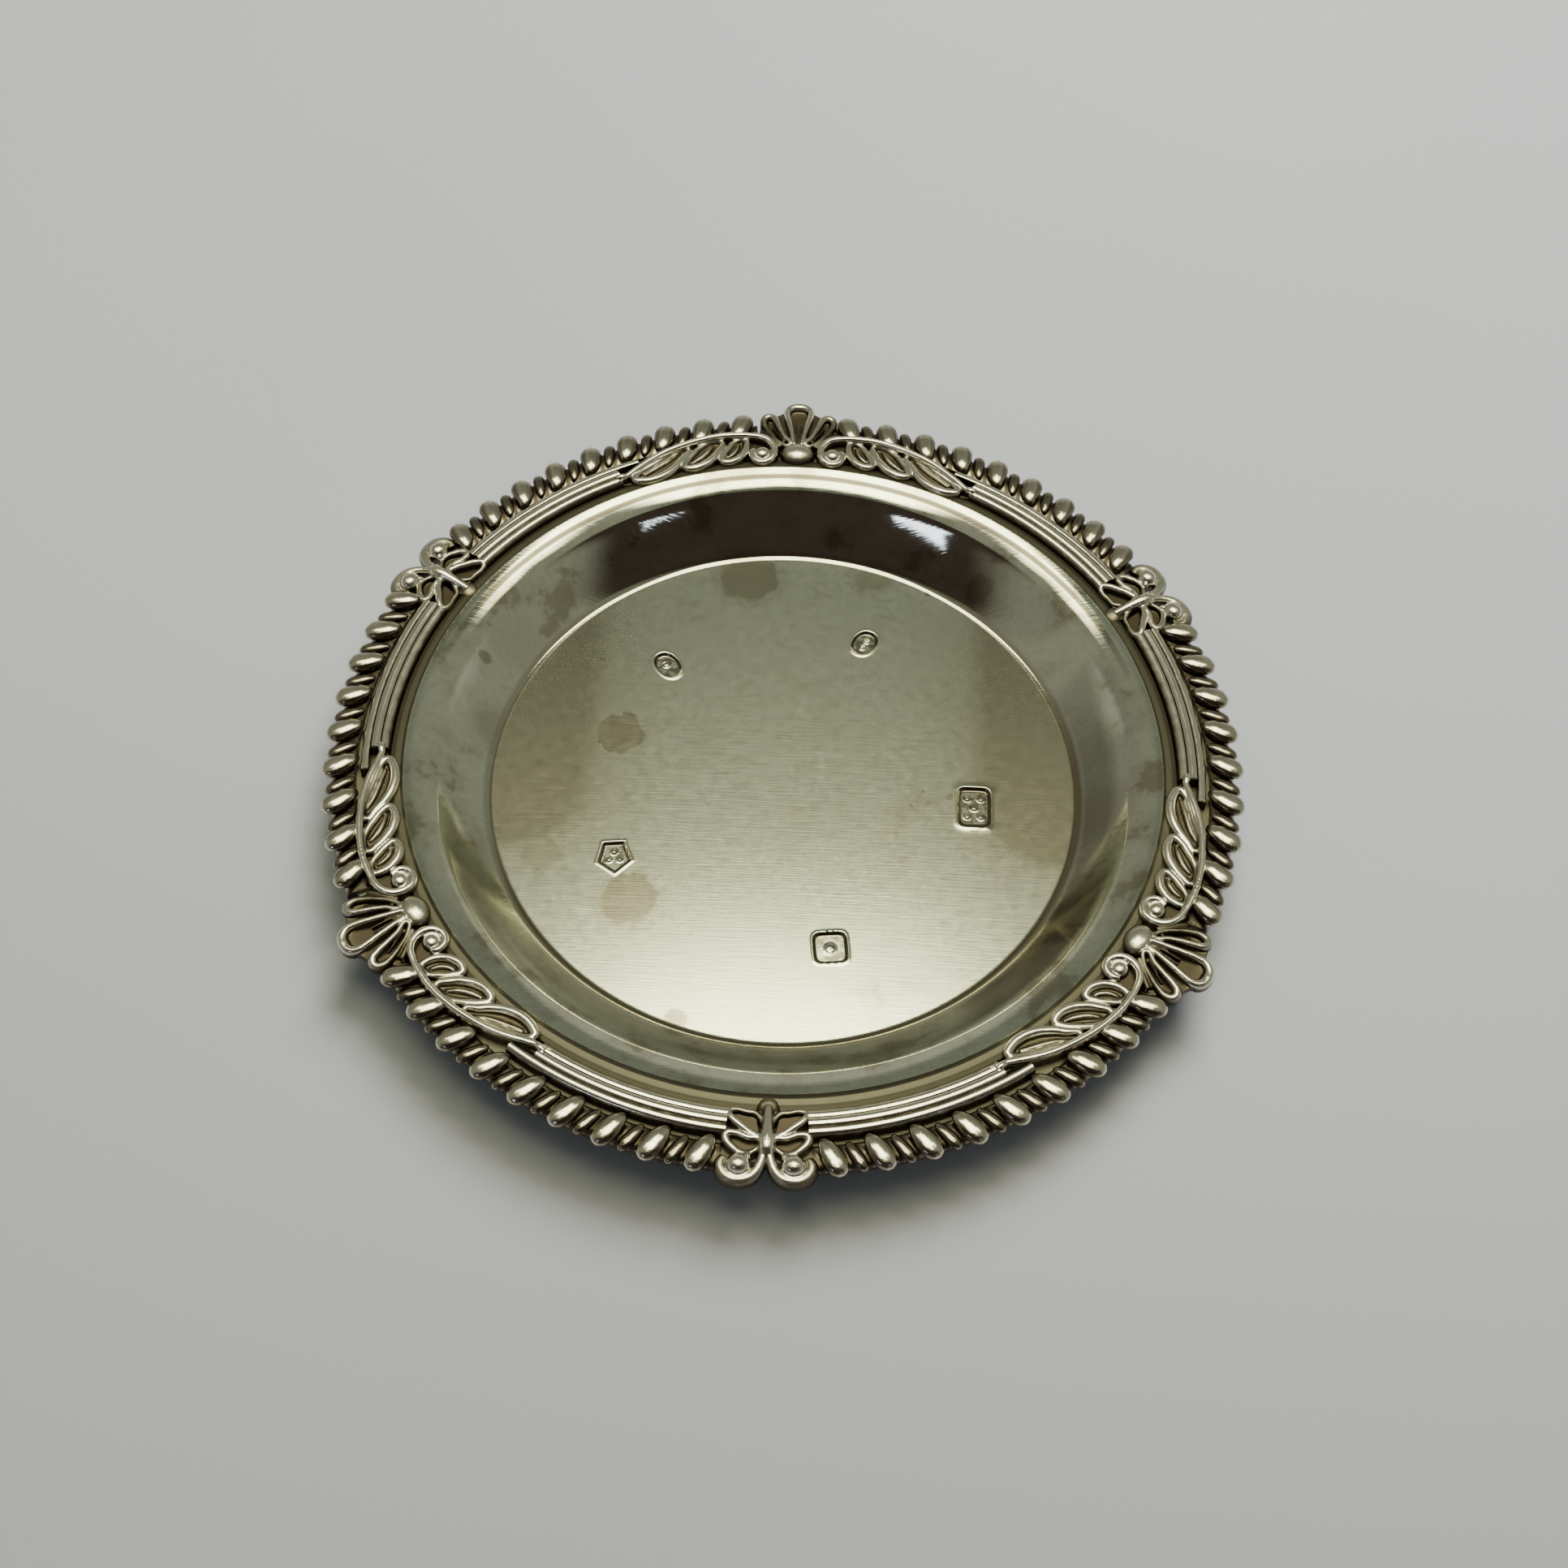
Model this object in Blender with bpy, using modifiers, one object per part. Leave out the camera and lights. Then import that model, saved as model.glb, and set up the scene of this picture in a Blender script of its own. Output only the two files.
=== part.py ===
# A small round silver pin dish. A pressed dish with a curved wall and a flat flange carries an applied
# border: gadroon lengths round the edge, three shells, six leaf sprays, six reed bands and three bow clasps.
# Metres, +Z up. The origin is at the centre of the underside of the floor, which the dish rests on.
# A shell points along +Y, and the bow opposite it along -Y.

from math import acos, ceil, copysign, cos, degrees, pi, radians, sin

import bmesh
import bpy
from mathutils import Matrix, Vector

# How the border repeats
SHELL_COUNT = 3
FIRST_SHELL_ANGLE = 90.0
SHELL_ANGLE = 360.0 / SHELL_COUNT
BOW_ANGLE = SHELL_ANGLE / 2  # from a shell to the next bow

# Dish body, as the top face of one bent sheet
SHEET_THICKNESS = 0.0008
FLOOR_RADIUS = 0.0303
WALL_RUN = 0.0059
WALL_RISE = 0.0055
WALL_HOLLOW = 0.0009  # how far the wall sags below a straight slope
LIP_RUN = 0.0018
LIP_RISE = 0.00015
LIP_ROUND = 0.00046  # how far the lip stands above its chord
SLOPE_RUN = 0.0007
SLOPE_DROP = 0.00115
FLANGE_WIDTH = 0.0061
BODY_STEPS = 48
WALL_STEPS = 5
LIP_STEPS = 4
FLAT_SHARE = 0.94  # of the floor's radius, flat inside the crease

# The applied border, from the flange's inner edge outwards
SOLDER_GAP = 0.0003
EDGE_WIRE_RADIUS = 0.00026
EDGE_WIRE_INSET = 0.0009
REED_COUNT = 3
REED_RADIUS = 0.0005
REED_GAP = 0.00005  # between two reeds
BACKING_THICKNESS = 0.0005
LOBE_LENGTH = 0.0032
LOBE_WIDTH = 0.0026
LOBE_HEIGHT = 0.0013
LOBE_PITCH = 0.0044  # about, measured round the lobes' middles
LOBE_RAKE = 22.0
GADROON_END_GAP = 0.00384  # from the middle line of a shell or a bow to the lobes
THIN_LOBE_LENGTH = 0.0020
THIN_LOBE_WIDTH = 0.0016
THIN_LOBE_HEIGHT = 0.0009
GADROON_BASE_WIDTH = 0.0017

# Reed bands, in degrees from the shell
REED_START_ANGLE = 28.5
OUTER_REED_START_ANGLE = 25.6
REED_END_ANGLE = 54.4
EDGE_WIRE_END_ANGLE = 57.4

# Leaf sprays, in degrees from the shell, with places across the border as shares of its width
SPRAY_END_ANGLE = 26.6
STEM_RADIUS = 0.00036
STEM_POINTS = 11
VOLUTE_ANGLE = 6.1
VOLUTE_SHARE = 0.41
VOLUTE_RADIUS = 0.00128
VOLUTE_START_TURN = -4.0
VOLUTE_TURN = 250.0
VOLUTE_POINTS = 8
VOLUTE_BALL_RADIUS = 0.0007
VOLUTE_BALL_HEIGHT = 0.0011
STEM_SHARES = (
    (0.985, 0.30),
    (0.93, 0.46),
    (0.85, 0.64),
    (0.73, 0.80),
    (0.59, 0.895),
    (0.46, 0.91),
    (0.33, 0.88),
    (0.24, 0.81),
)
LEAF_RIM_RADIUS = 0.00033
LEAF_TIP_RADII = (0.00085, 0.0007, 0.00062)
LEAF_ROOT_SHARES = ((0.63, 0.84), (0.43, 0.86), (0.30, 0.80))
LEAF_TIP_SHARES = ((0.955, 0.14), (0.70, 0.15), (0.495, 0.15))
LEAF_ROOT_WIDTH = 0.0003

# Shells
BOSS_INSET = 0.0019  # from the flange's inner edge to the boss's middle
BOSS_LENGTH = 0.0026
BOSS_WIDTH = 0.0028
BOSS_HEIGHT = 0.0019
PETAL_START = 0.0030  # from the flange's inner edge to the petals' roots
PETAL_RIM_RADIUS = 0.00034
PETAL_ROOT_WIDTH = 0.0005
MIDDLE_PETAL_LENGTH = 0.0068
FLANK_PETAL_LENGTH = 0.0054
SMALL_PETAL_LENGTH = 0.0021
PETAL_REACHES = (MIDDLE_PETAL_LENGTH, FLANK_PETAL_LENGTH, SMALL_PETAL_LENGTH)
PETAL_TIP_RADII = (0.00145, 0.00085, 0.0003)
PETAL_FAN_ANGLES = (0.0, 31.0, 60.0)
PETAL_SPREAD = 0.0007  # between the roots of neighbouring petals

# Bow clasps
KNOB_INSET = 0.0012
KNOB_LENGTH = 0.0017
KNOB_WIDTH = 0.0021
KNOB_HEIGHT = 0.0013
TIE_RADIUS = 0.00048
TIE_LENGTH = 0.0043
HORN_RADIUS = 0.00038
HORN_SPIRAL_RADIUS = 0.00118
HORN_SPREAD = 0.00275  # from the bow's middle line to the ball
HORN_REACH = 0.0070  # from the flange's inner edge to the ball
HORN_KNEE_RUN = 0.0014  # from the end of the tie to the bend in the horn
HORN_KNEE_SPREAD = 0.0007
HORN_START_TURN = 50.0
HORN_TURN = 210.0
HORN_POINTS = 8
HORN_BALL_RADIUS = 0.00075
HORN_BALL_HEIGHT = 0.0013
BOW_LEAF_LENGTHS = (0.0040, 0.0036)
BOW_LEAF_WIDTHS = (0.0013, 0.0015)
BOW_LEAF_HEIGHT = 0.0010
BOW_LEAF_OFFSET = 0.00165
BOW_LEAF_INSETS = (0.0031, 0.0047)
BOW_LEAF_TURNS = (32.0, -4.0)

# Both kinds of scroll
TIGHTEN_SHARE = 0.42  # how much nearer the ball a scroll ends than it starts

# Fineness of the curves and round shapes
RIM_LEVEL = 0
WIRE_LEVEL = 1
DOME_SEGMENTS = 8
DOME_RINGS = 4
WIRE_STEP_ANGLE = 3.8  # along the long wires
PETAL_ARC_POINTS = 5
MERGE = 0.000001

# Places worked out from the sizes above
WALL_TOP_RADIUS = FLOOR_RADIUS + WALL_RUN
WALL_TOP = SHEET_THICKNESS + WALL_RISE
LIP_END_RADIUS = WALL_TOP_RADIUS + LIP_RUN
LIP_END = WALL_TOP + LIP_RISE
FLANGE_RADIUS = LIP_END_RADIUS + SLOPE_RUN
FLANGE_TOP = LIP_END - SLOPE_DROP
SEAT = FLANGE_TOP + SOLDER_GAP
EDGE_WIRE_PLACE = FLANGE_RADIUS + EDGE_WIRE_INSET
REED_PITCH = 2 * REED_RADIUS + REED_GAP
REED_PLACES = [EDGE_WIRE_PLACE + REED_PITCH * (k + 1) for k in range(REED_COUNT)]
LOBE_START = REED_PLACES[-1] + REED_RADIUS + SOLDER_GAP
LOBE_MIDDLE = LOBE_START + LOBE_LENGTH / 2
GADROON_ARC = radians(BOW_ANGLE) * LOBE_MIDDLE - 2 * GADROON_END_GAP
LOBE_COUNT = round(GADROON_ARC / LOBE_PITCH)
LOBE_STEP = GADROON_ARC / LOBE_COUNT / LOBE_MIDDLE  # radians from one fat lobe to the next
SPRAY_WIDTH = REED_PLACES[-1] + REED_RADIUS - FLANGE_RADIUS
RIM_HEIGHT = SEAT + BACKING_THICKNESS


def clear_scene():
    for old in list(bpy.data.objects):
        bpy.data.objects.remove(old, do_unlink=True)


def collection(name):
    made = bpy.data.collections.new(name)
    bpy.context.scene.collection.children.link(made)
    return made


def silver(name, colour, roughness):
    material = bpy.data.materials.new(name)
    material.use_nodes = True
    shader = material.node_tree.nodes["Principled BSDF"]
    shader.inputs["Base Color"].default_value = (*colour, 1.0)
    shader.inputs["Roughness"].default_value = roughness
    shader.inputs["Metallic"].default_value = 1.0
    return material


def polar(radius, degrees, height):
    angle = radians(degrees)
    return Vector((radius * cos(angle), radius * sin(angle), height))


# Curved stretches of an outline

def bulged(start, end, bulge, steps):
    """Points of the arc from start to end, without its start. Its middle stands off the chord by bulge."""
    chord = end - start
    across = Vector((-chord.y, chord.x)).normalized()
    radius = (chord.length**2 / 4 + bulge**2) / (2 * bulge)
    centre = (start + end) / 2 + across * (bulge - radius)
    half = copysign(acos((radius - bulge) / radius), bulge)
    middle = across * radius
    turns = [half - 2 * half * (k + 1) / steps for k in range(steps)]
    return [centre + Matrix.Rotation(turn, 2) @ middle for turn in turns]


def smooth_path(knots, count):
    """A Catmull-Rom curve through the knots, as evenly spread points."""
    ends = [2 * knots[0] - knots[1], *knots, 2 * knots[-1] - knots[-2]]
    points = []
    for k in range(count):
        place = k / (count - 1) * (len(knots) - 1)
        i = min(int(place), len(knots) - 2)
        t = place - i
        a, b, c, d = ends[i : i + 4]
        points.append(
            (2 * b + (c - a) * t + (2 * a - 5 * b + 4 * c - d) * t**2 + (3 * b - a - 3 * c + d) * t**3) / 2
        )
    return points


def spiral(centre, radius, start, turn, tighten_share, count):
    """Points that wind in round a centre, over turn degrees from the angle start."""
    points = []
    for k in range(count):
        along = k / (count - 1)
        reach = radius * (1 - tighten_share * along)
        points.append(centre + polar(reach, start + turn * along, 0))
    return points


def petal_outline(root, tip, tip_radius, root_width):
    """A drop: two root corners and a round tip, level with the root."""
    along = (tip - root).normalized()
    across = Vector((-along.y, along.x, 0))
    centre = tip - along * tip_radius
    points = [root - across * root_width / 2]
    for k in range(PETAL_ARC_POINTS):
        angle = pi * (k / (PETAL_ARC_POINTS - 1) - 1 / 2)
        points.append(centre + (along * cos(angle) + across * sin(angle)) * tip_radius)
    points.append(root + across * root_width / 2)
    return points


# Shapes that the pieces are joined from

def mesh_of_curve(name, curve):
    guide = bpy.data.objects.new(name, curve)
    bpy.context.scene.collection.objects.link(guide)
    evaluated = guide.evaluated_get(bpy.context.evaluated_depsgraph_get())
    mesh = bpy.data.meshes.new_from_object(evaluated)
    bpy.data.objects.remove(guide, do_unlink=True)
    shape = bmesh.new()
    shape.from_mesh(mesh)
    bmesh.ops.remove_doubles(shape, verts=shape.verts, dist=MERGE)
    bmesh.ops.recalc_face_normals(shape, faces=shape.faces)
    shape.to_mesh(mesh)
    shape.free()
    return mesh


def poly_curve(name, points, dimensions, cyclic):
    curve = bpy.data.curves.new(name, "CURVE")
    curve.dimensions = dimensions
    spline = curve.splines.new("POLY")
    spline.points.add(len(points) - 1)
    for point, place in zip(spline.points, points):
        point.co = (*place, 1.0)
    spline.use_cyclic_u = cyclic
    return curve


def tube(name, points, radius, level, cyclic=False):
    curve = poly_curve(name, points, "3D", cyclic)
    curve.bevel_depth = radius
    curve.bevel_resolution = level
    curve.use_fill_caps = not cyclic
    return mesh_of_curve(name, curve)


def plate(name, outline, thickness):
    """A flat plate that lies on the seat."""
    curve = poly_curve(name, [(p.x, p.y, 0) for p in outline], "2D", True)
    curve.fill_mode = "BOTH"
    curve.extrude = thickness / 2
    mesh = mesh_of_curve(name, curve)
    mesh.transform(Matrix.Translation((0, 0, SEAT + thickness / 2)))
    return mesh


def dome(name, place, length, width, height, turn=0.0):
    """The upper half of a stretched ball, standing on the seat, its length along turn degrees."""
    shape = bmesh.new()
    bmesh.ops.create_uvsphere(shape, u_segments=DOME_SEGMENTS, v_segments=DOME_RINGS, radius=1)
    cut = bmesh.ops.bisect_plane(
        shape,
        geom=[*shape.verts, *shape.edges, *shape.faces],
        plane_co=(0, 0, 0),
        plane_no=(0, 0, -1),
        clear_outer=True,
    )
    rim = [item for item in cut["geom_cut"] if isinstance(item, bmesh.types.BMEdge)]
    bmesh.ops.edgeloop_fill(shape, edges=rim)
    bmesh.ops.recalc_face_normals(shape, faces=shape.faces)
    mesh = bpy.data.meshes.new(name)
    shape.to_mesh(mesh)
    shape.free()
    size = Matrix.Diagonal((length / 2, width / 2, height, 1))
    stand = Matrix.Translation((place.x, place.y, SEAT))
    mesh.transform(stand @ Matrix.Rotation(radians(turn), 4, "Z") @ size)
    return mesh


def round_dome(name, place, radius, height):
    return dome(name, place, 2 * radius, 2 * radius, height)


def angles_between(start, end):
    steps = ceil((end - start) / WIRE_STEP_ANGLE)
    return [start + (end - start) * k / steps for k in range(steps + 1)]


def ring_plate(name, inner, outer, start, end, thickness):
    """A flat plate along an arc of the border, between two radii and two angles."""
    angles = angles_between(start, end)
    outline = [polar(outer, angle, 0) for angle in angles]
    outline += [polar(inner, angle, 0) for angle in reversed(angles)]
    return plate(name, outline, thickness)


def arc_wire(name, radius, place, start, end, level):
    """A wire round the border, half sunk in the backing."""
    points = [polar(place, angle, RIM_HEIGHT) for angle in angles_between(start, end)]
    return tube(name, points, radius, level)


def rimmed_petal(name, root, tip, tip_radius, root_width, rim_radius):
    """A thin petal with a raised wire rim."""
    outline = petal_outline(root, tip, tip_radius, root_width)
    rim = tube(f"{name}_rim", [p + Vector((0, 0, RIM_HEIGHT)) for p in outline], rim_radius, RIM_LEVEL, True)
    return [plate(f"{name}_web", outline, BACKING_THICKNESS), rim]


def united(name, meshes, solver="EXACT"):
    """One closed body from meshes that overlap."""
    helpers = [bpy.data.objects.new(f"{name}_{k}", mesh) for k, mesh in enumerate(meshes)]
    for helper in helpers:
        bpy.context.scene.collection.objects.link(helper)
    for helper in helpers[1:]:
        join = helpers[0].modifiers.new("join", "BOOLEAN")
        join.operation = "UNION"
        join.solver = solver
        join.object = helper
    whole = helpers[0].evaluated_get(bpy.context.evaluated_depsgraph_get())
    mesh = bpy.data.meshes.new_from_object(whole)
    mesh.name = name
    for helper in helpers:
        bpy.data.objects.remove(helper, do_unlink=True)
    return mesh


def place_piece(name, mesh, material, angle, mirrored=False):
    """A copy of a piece modelled at +X, turned to its angle and mirrored across its shell's axis if asked."""
    piece = bpy.data.objects.new(name, mesh)
    piece.rotation_euler.z = radians(angle)
    piece.scale.y = -1 if mirrored else 1
    parts.objects.link(piece)
    piece.parent = dish
    if not mesh.materials:
        mesh.materials.append(material)
    return piece


# The pieces of the dish, each modelled with its own axis along +X

def dish_body():
    """The pressed sheet: its top face is turned, and Solidify gives it its thickness below."""
    top = [Vector((0, SHEET_THICKNESS)), Vector((FLOOR_RADIUS * FLAT_SHARE, SHEET_THICKNESS))]
    top.append(Vector((FLOOR_RADIUS, SHEET_THICKNESS)))
    wall_top = Vector((WALL_TOP_RADIUS, WALL_TOP))
    lip_end = Vector((LIP_END_RADIUS, LIP_END))
    top += bulged(top[-1], wall_top, -WALL_HOLLOW, WALL_STEPS)
    top += bulged(wall_top, lip_end, LIP_ROUND, LIP_STEPS)
    top.append(Vector((FLANGE_RADIUS, FLANGE_TOP)))
    top.append(Vector((FLANGE_RADIUS + FLANGE_WIDTH, FLANGE_TOP)))
    profile = bpy.data.meshes.new("dish_body")
    places = [(p.x, 0, p.y) for p in top]
    profile.from_pydata(places, [(k, k + 1) for k in range(len(places) - 1)], [])
    body = bpy.data.objects.new("dish_body", profile)
    parts.objects.link(body)
    turned = body.modifiers.new("turned", "SCREW")
    turned.axis = "Z"
    turned.angle = 2 * pi
    turned.steps = BODY_STEPS
    turned.render_steps = BODY_STEPS
    turned.use_merge_vertices = True
    turned.merge_threshold = MERGE
    turned.use_smooth_shade = True
    sheet = body.modifiers.new("sheet", "SOLIDIFY")
    sheet.thickness = SHEET_THICKNESS
    sheet.offset = -1
    sheet.use_even_offset = True
    profile.materials.append(silver("dish_silver", (0.60, 0.58, 0.50), 0.24))
    body.parent = dish


def gadroon_mesh():
    """A length of gadroon edge: fat lobes that lean towards the shell, with thin ones between, on a base."""
    middle = radians(BOW_ANGLE) / 2
    fat_angles = [middle + LOBE_STEP * (k - (LOBE_COUNT - 1) / 2) for k in range(LOBE_COUNT)]
    base_end = LOBE_STEP * LOBE_COUNT / 2 - LOBE_WIDTH / LOBE_MIDDLE / 2
    edges = [degrees(middle + side * base_end) for side in (-1, 1)]
    base = ring_plate("base", LOBE_START, LOBE_START + GADROON_BASE_WIDTH, *edges, BACKING_THICKNESS)
    lobes = []
    for k, angle in enumerate(fat_angles):
        fat_at = degrees(angle)
        place = polar(LOBE_MIDDLE, fat_at, 0)
        lobes.append(dome(f"lobe_{k}", place, LOBE_LENGTH, LOBE_WIDTH, LOBE_HEIGHT, fat_at - LOBE_RAKE))
        if k < LOBE_COUNT - 1:
            thin_at = degrees(angle + LOBE_STEP / 2)
            place = polar(LOBE_START + THIN_LOBE_LENGTH / 2, thin_at, 0)
            size = (THIN_LOBE_LENGTH, THIN_LOBE_WIDTH, THIN_LOBE_HEIGHT)
            lobes.append(dome(f"thin_{k}", place, *size, thin_at - LOBE_RAKE))
    return united("gadroon_length", [base, *lobes])


def reed_mesh():
    """Three reeds and a thin inner edge wire on a backing strip."""
    inner = EDGE_WIRE_PLACE - EDGE_WIRE_RADIUS
    outer = REED_PLACES[-1] + REED_RADIUS / 2
    strip = ring_plate("strip", inner, outer, REED_START_ANGLE, REED_END_ANGLE, BACKING_THICKNESS)
    wires = []
    for k, place in enumerate(REED_PLACES):
        start = OUTER_REED_START_ANGLE if k == REED_COUNT - 1 else REED_START_ANGLE
        wires.append(arc_wire(f"reed_{k}", REED_RADIUS, place, start, REED_END_ANGLE, WIRE_LEVEL))
    edge_wire = arc_wire(
        "edge_wire", EDGE_WIRE_RADIUS, EDGE_WIRE_PLACE, REED_START_ANGLE, EDGE_WIRE_END_ANGLE, RIM_LEVEL
    )
    wires.append(edge_wire)
    return united("reed_band", [strip, *wires])


def spray_place(angle_share, width_share):
    return polar(FLANGE_RADIUS + SPRAY_WIDTH * width_share, SPRAY_END_ANGLE * angle_share, 0)


def spray_mesh():
    """A stem that curls into a volute beside the shell, with three rimmed leaves along it."""
    centre = spray_place(VOLUTE_ANGLE / SPRAY_END_ANGLE, VOLUTE_SHARE)
    knots = [spray_place(*shares) for shares in STEM_SHARES]
    curl = spiral(centre, VOLUTE_RADIUS, VOLUTE_START_TURN, -VOLUTE_TURN, TIGHTEN_SHARE, VOLUTE_POINTS)
    path = smooth_path([*knots, *curl[:1]], STEM_POINTS) + curl[1:]
    lift = Vector((0, 0, RIM_HEIGHT))
    shapes = [tube("stem", [p + lift for p in path], STEM_RADIUS, WIRE_LEVEL)]
    shapes.append(round_dome("ball", centre, VOLUTE_BALL_RADIUS, VOLUTE_BALL_HEIGHT))
    for k, tip_radius in enumerate(LEAF_TIP_RADII):
        root = spray_place(*LEAF_ROOT_SHARES[k])
        tip = spray_place(*LEAF_TIP_SHARES[k])
        shapes += rimmed_petal(f"leaf_{k}", root, tip, tip_radius, LEAF_ROOT_WIDTH, LEAF_RIM_RADIUS)
    return united("leaf_spray", shapes)


def shell_mesh():
    """A fan of rimmed petals behind a round boss."""
    boss_place = polar(FLANGE_RADIUS + BOSS_INSET, 0, 0)
    shapes = [dome("boss", boss_place, BOSS_LENGTH, BOSS_WIDTH, BOSS_HEIGHT)]
    for k, fan_angle in enumerate(PETAL_FAN_ANGLES):
        for side in (1, -1) if fan_angle else (1,):
            root = Vector((FLANGE_RADIUS + PETAL_START, side * PETAL_SPREAD * k, 0))
            tip = root + polar(PETAL_REACHES[k], side * fan_angle, 0)
            shapes += rimmed_petal(
                f"petal_{k}_{side}", root, tip, PETAL_TIP_RADII[k], PETAL_ROOT_WIDTH, PETAL_RIM_RADIUS
            )
    return united("shell_mount", shapes, "MANIFOLD")  # where the webs overlap they share their planes


def bow_mesh():
    """A knob and a tie that parts into two ram's-horn scrolls, with two leaves on each side."""
    lift = Vector((0, 0, RIM_HEIGHT))
    knob_place = polar(FLANGE_RADIUS + KNOB_INSET, 0, 0)
    shapes = [dome("knob", knob_place, KNOB_LENGTH, KNOB_WIDTH, KNOB_HEIGHT)]
    tie_end = knob_place + Vector((TIE_LENGTH, 0, 0))
    shapes.append(tube("tie", [knob_place + lift, tie_end + lift], TIE_RADIUS, WIRE_LEVEL))
    for side in (1, -1):
        ball = Vector((FLANGE_RADIUS + HORN_REACH, side * HORN_SPREAD, 0))
        start, turn = -side * HORN_START_TURN, side * HORN_TURN
        curl = spiral(ball, HORN_SPIRAL_RADIUS, start, turn, TIGHTEN_SHARE, HORN_POINTS)
        knee = tie_end + Vector((HORN_KNEE_RUN, side * HORN_KNEE_SPREAD, 0))
        foot = tie_end - Vector((TIE_RADIUS, 0, 0))
        path = smooth_path([foot, knee, curl[0], curl[1]], HORN_POINTS // 2) + curl[2:]
        shapes.append(tube(f"horn_{side}", [p + lift for p in path], HORN_RADIUS, WIRE_LEVEL))
        shapes.append(round_dome(f"ball_{side}", ball, HORN_BALL_RADIUS, HORN_BALL_HEIGHT))
        for k, inset in enumerate(BOW_LEAF_INSETS):
            place = Vector((FLANGE_RADIUS + inset, side * BOW_LEAF_OFFSET, 0))
            size = (BOW_LEAF_LENGTHS[k], BOW_LEAF_WIDTHS[k], BOW_LEAF_HEIGHT)
            shapes.append(dome(f"leaf_{k}_{side}", place, *size, side * (90.0 + BOW_LEAF_TURNS[k])))
    return united("bow_clasp", shapes)


def border():
    """Places the applied pieces round the flange."""
    shell = shell_mesh()
    spray = spray_mesh()
    reeds = reed_mesh()
    gadroon = gadroon_mesh()
    bow = bow_mesh()
    shell_silver = silver("shell_silver", (0.52, 0.50, 0.43), 0.27)
    spray_silver = silver("spray_silver", (0.55, 0.53, 0.46), 0.26)
    reed_silver = silver("reed_silver", (0.58, 0.56, 0.50), 0.24)
    gadroon_silver = silver("gadroon_silver", (0.50, 0.48, 0.41), 0.28)
    bow_silver = silver("bow_silver", (0.54, 0.52, 0.45), 0.26)
    for k in range(SHELL_COUNT):
        shell_at = FIRST_SHELL_ANGLE + SHELL_ANGLE * k
        place_piece(f"shell_mount_{k + 1}", shell, shell_silver, shell_at)
        place_piece(f"bow_clasp_{k + 1}", bow, bow_silver, shell_at + BOW_ANGLE)
        for side, mirrored in (("left", False), ("right", True)):
            place_piece(f"leaf_spray_{side}_{k + 1}", spray, spray_silver, shell_at, mirrored)
            place_piece(f"reed_band_{side}_{k + 1}", reeds, reed_silver, shell_at, mirrored)
            place_piece(f"gadroon_edge_{side}_{k + 1}", gadroon, gadroon_silver, shell_at, mirrored)


def shade_round_pieces():
    for piece in parts.objects:
        if piece.type == "MESH":
            piece.data.shade_smooth()
            piece.data.set_sharp_from_angle(angle=radians(40))


clear_scene()
parts = collection("pin_dish")
dish = bpy.data.objects.new("dish", None)
parts.objects.link(dish)
dish_body()
border()
shade_round_pieces()
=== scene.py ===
import math
from math import cos, radians, sin

import bpy
from mathutils import Matrix, Vector


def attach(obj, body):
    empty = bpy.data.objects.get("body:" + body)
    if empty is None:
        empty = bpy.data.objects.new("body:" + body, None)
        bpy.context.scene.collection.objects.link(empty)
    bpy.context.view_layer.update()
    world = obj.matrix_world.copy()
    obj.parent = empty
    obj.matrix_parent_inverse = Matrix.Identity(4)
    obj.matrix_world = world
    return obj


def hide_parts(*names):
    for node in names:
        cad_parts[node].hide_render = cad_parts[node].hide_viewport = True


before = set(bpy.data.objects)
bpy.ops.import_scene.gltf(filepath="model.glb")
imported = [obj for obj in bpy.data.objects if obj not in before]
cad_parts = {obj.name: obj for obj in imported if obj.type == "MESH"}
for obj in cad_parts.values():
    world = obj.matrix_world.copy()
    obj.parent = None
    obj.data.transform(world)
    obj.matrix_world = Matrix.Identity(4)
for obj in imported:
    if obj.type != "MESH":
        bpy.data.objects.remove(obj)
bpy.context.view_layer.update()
mm = 0.001
stepsPerDegree = 1.6  # of the bands turned round the dish


# small helps

def spot(radius, angle, height=0):
    turn = radians(angle)
    return Vector((radius * cos(turn), radius * sin(turn), height)) * mm


def pickNothing():
    bpy.ops.object.select_all(action="DESELECT")


def onlyThis(piece):
    pickNothing()
    piece.select_set(True)
    bpy.context.view_layer.objects.active = piece


def named(name):
    piece = bpy.context.object
    piece.name = piece.data.name = name
    return piece


def backToObject():
    bpy.ops.object.mode_set(mode="OBJECT")


def editAll(piece):
    onlyThis(piece)
    bpy.ops.object.mode_set(mode="EDIT")
    bpy.ops.mesh.select_mode(type="VERT")
    bpy.ops.mesh.select_all(action="SELECT")


def pickPoints(piece, test):
    # leaves edit mode on, with the points that pass the test selected
    editAll(piece)
    bpy.ops.mesh.select_all(action="DESELECT")
    backToObject()
    for point in piece.data.vertices:
        point.select = test(point.co, point.normal)
    bpy.ops.object.mode_set(mode="EDIT")


def levelPoints(piece, height, test):
    # brings the points that pass the test to one height in mm
    pickPoints(piece, test)
    bpy.ops.transform.resize(value=(1, 1, 0), center_override=(0, 0, height * mm))
    backToObject()


def smoothBelow(piece, angle):
    onlyThis(piece)
    bpy.ops.object.shade_smooth_by_angle(angle=radians(angle))
    return piece


def applyModifier(piece, kind, **settings):
    onlyThis(piece)
    bpy.ops.object.modifier_add(type=kind)
    modifier = piece.modifiers[-1]
    for key, value in settings.items():
        setattr(modifier, key, value)
    bpy.ops.object.modifier_apply(modifier=modifier.name)


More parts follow.
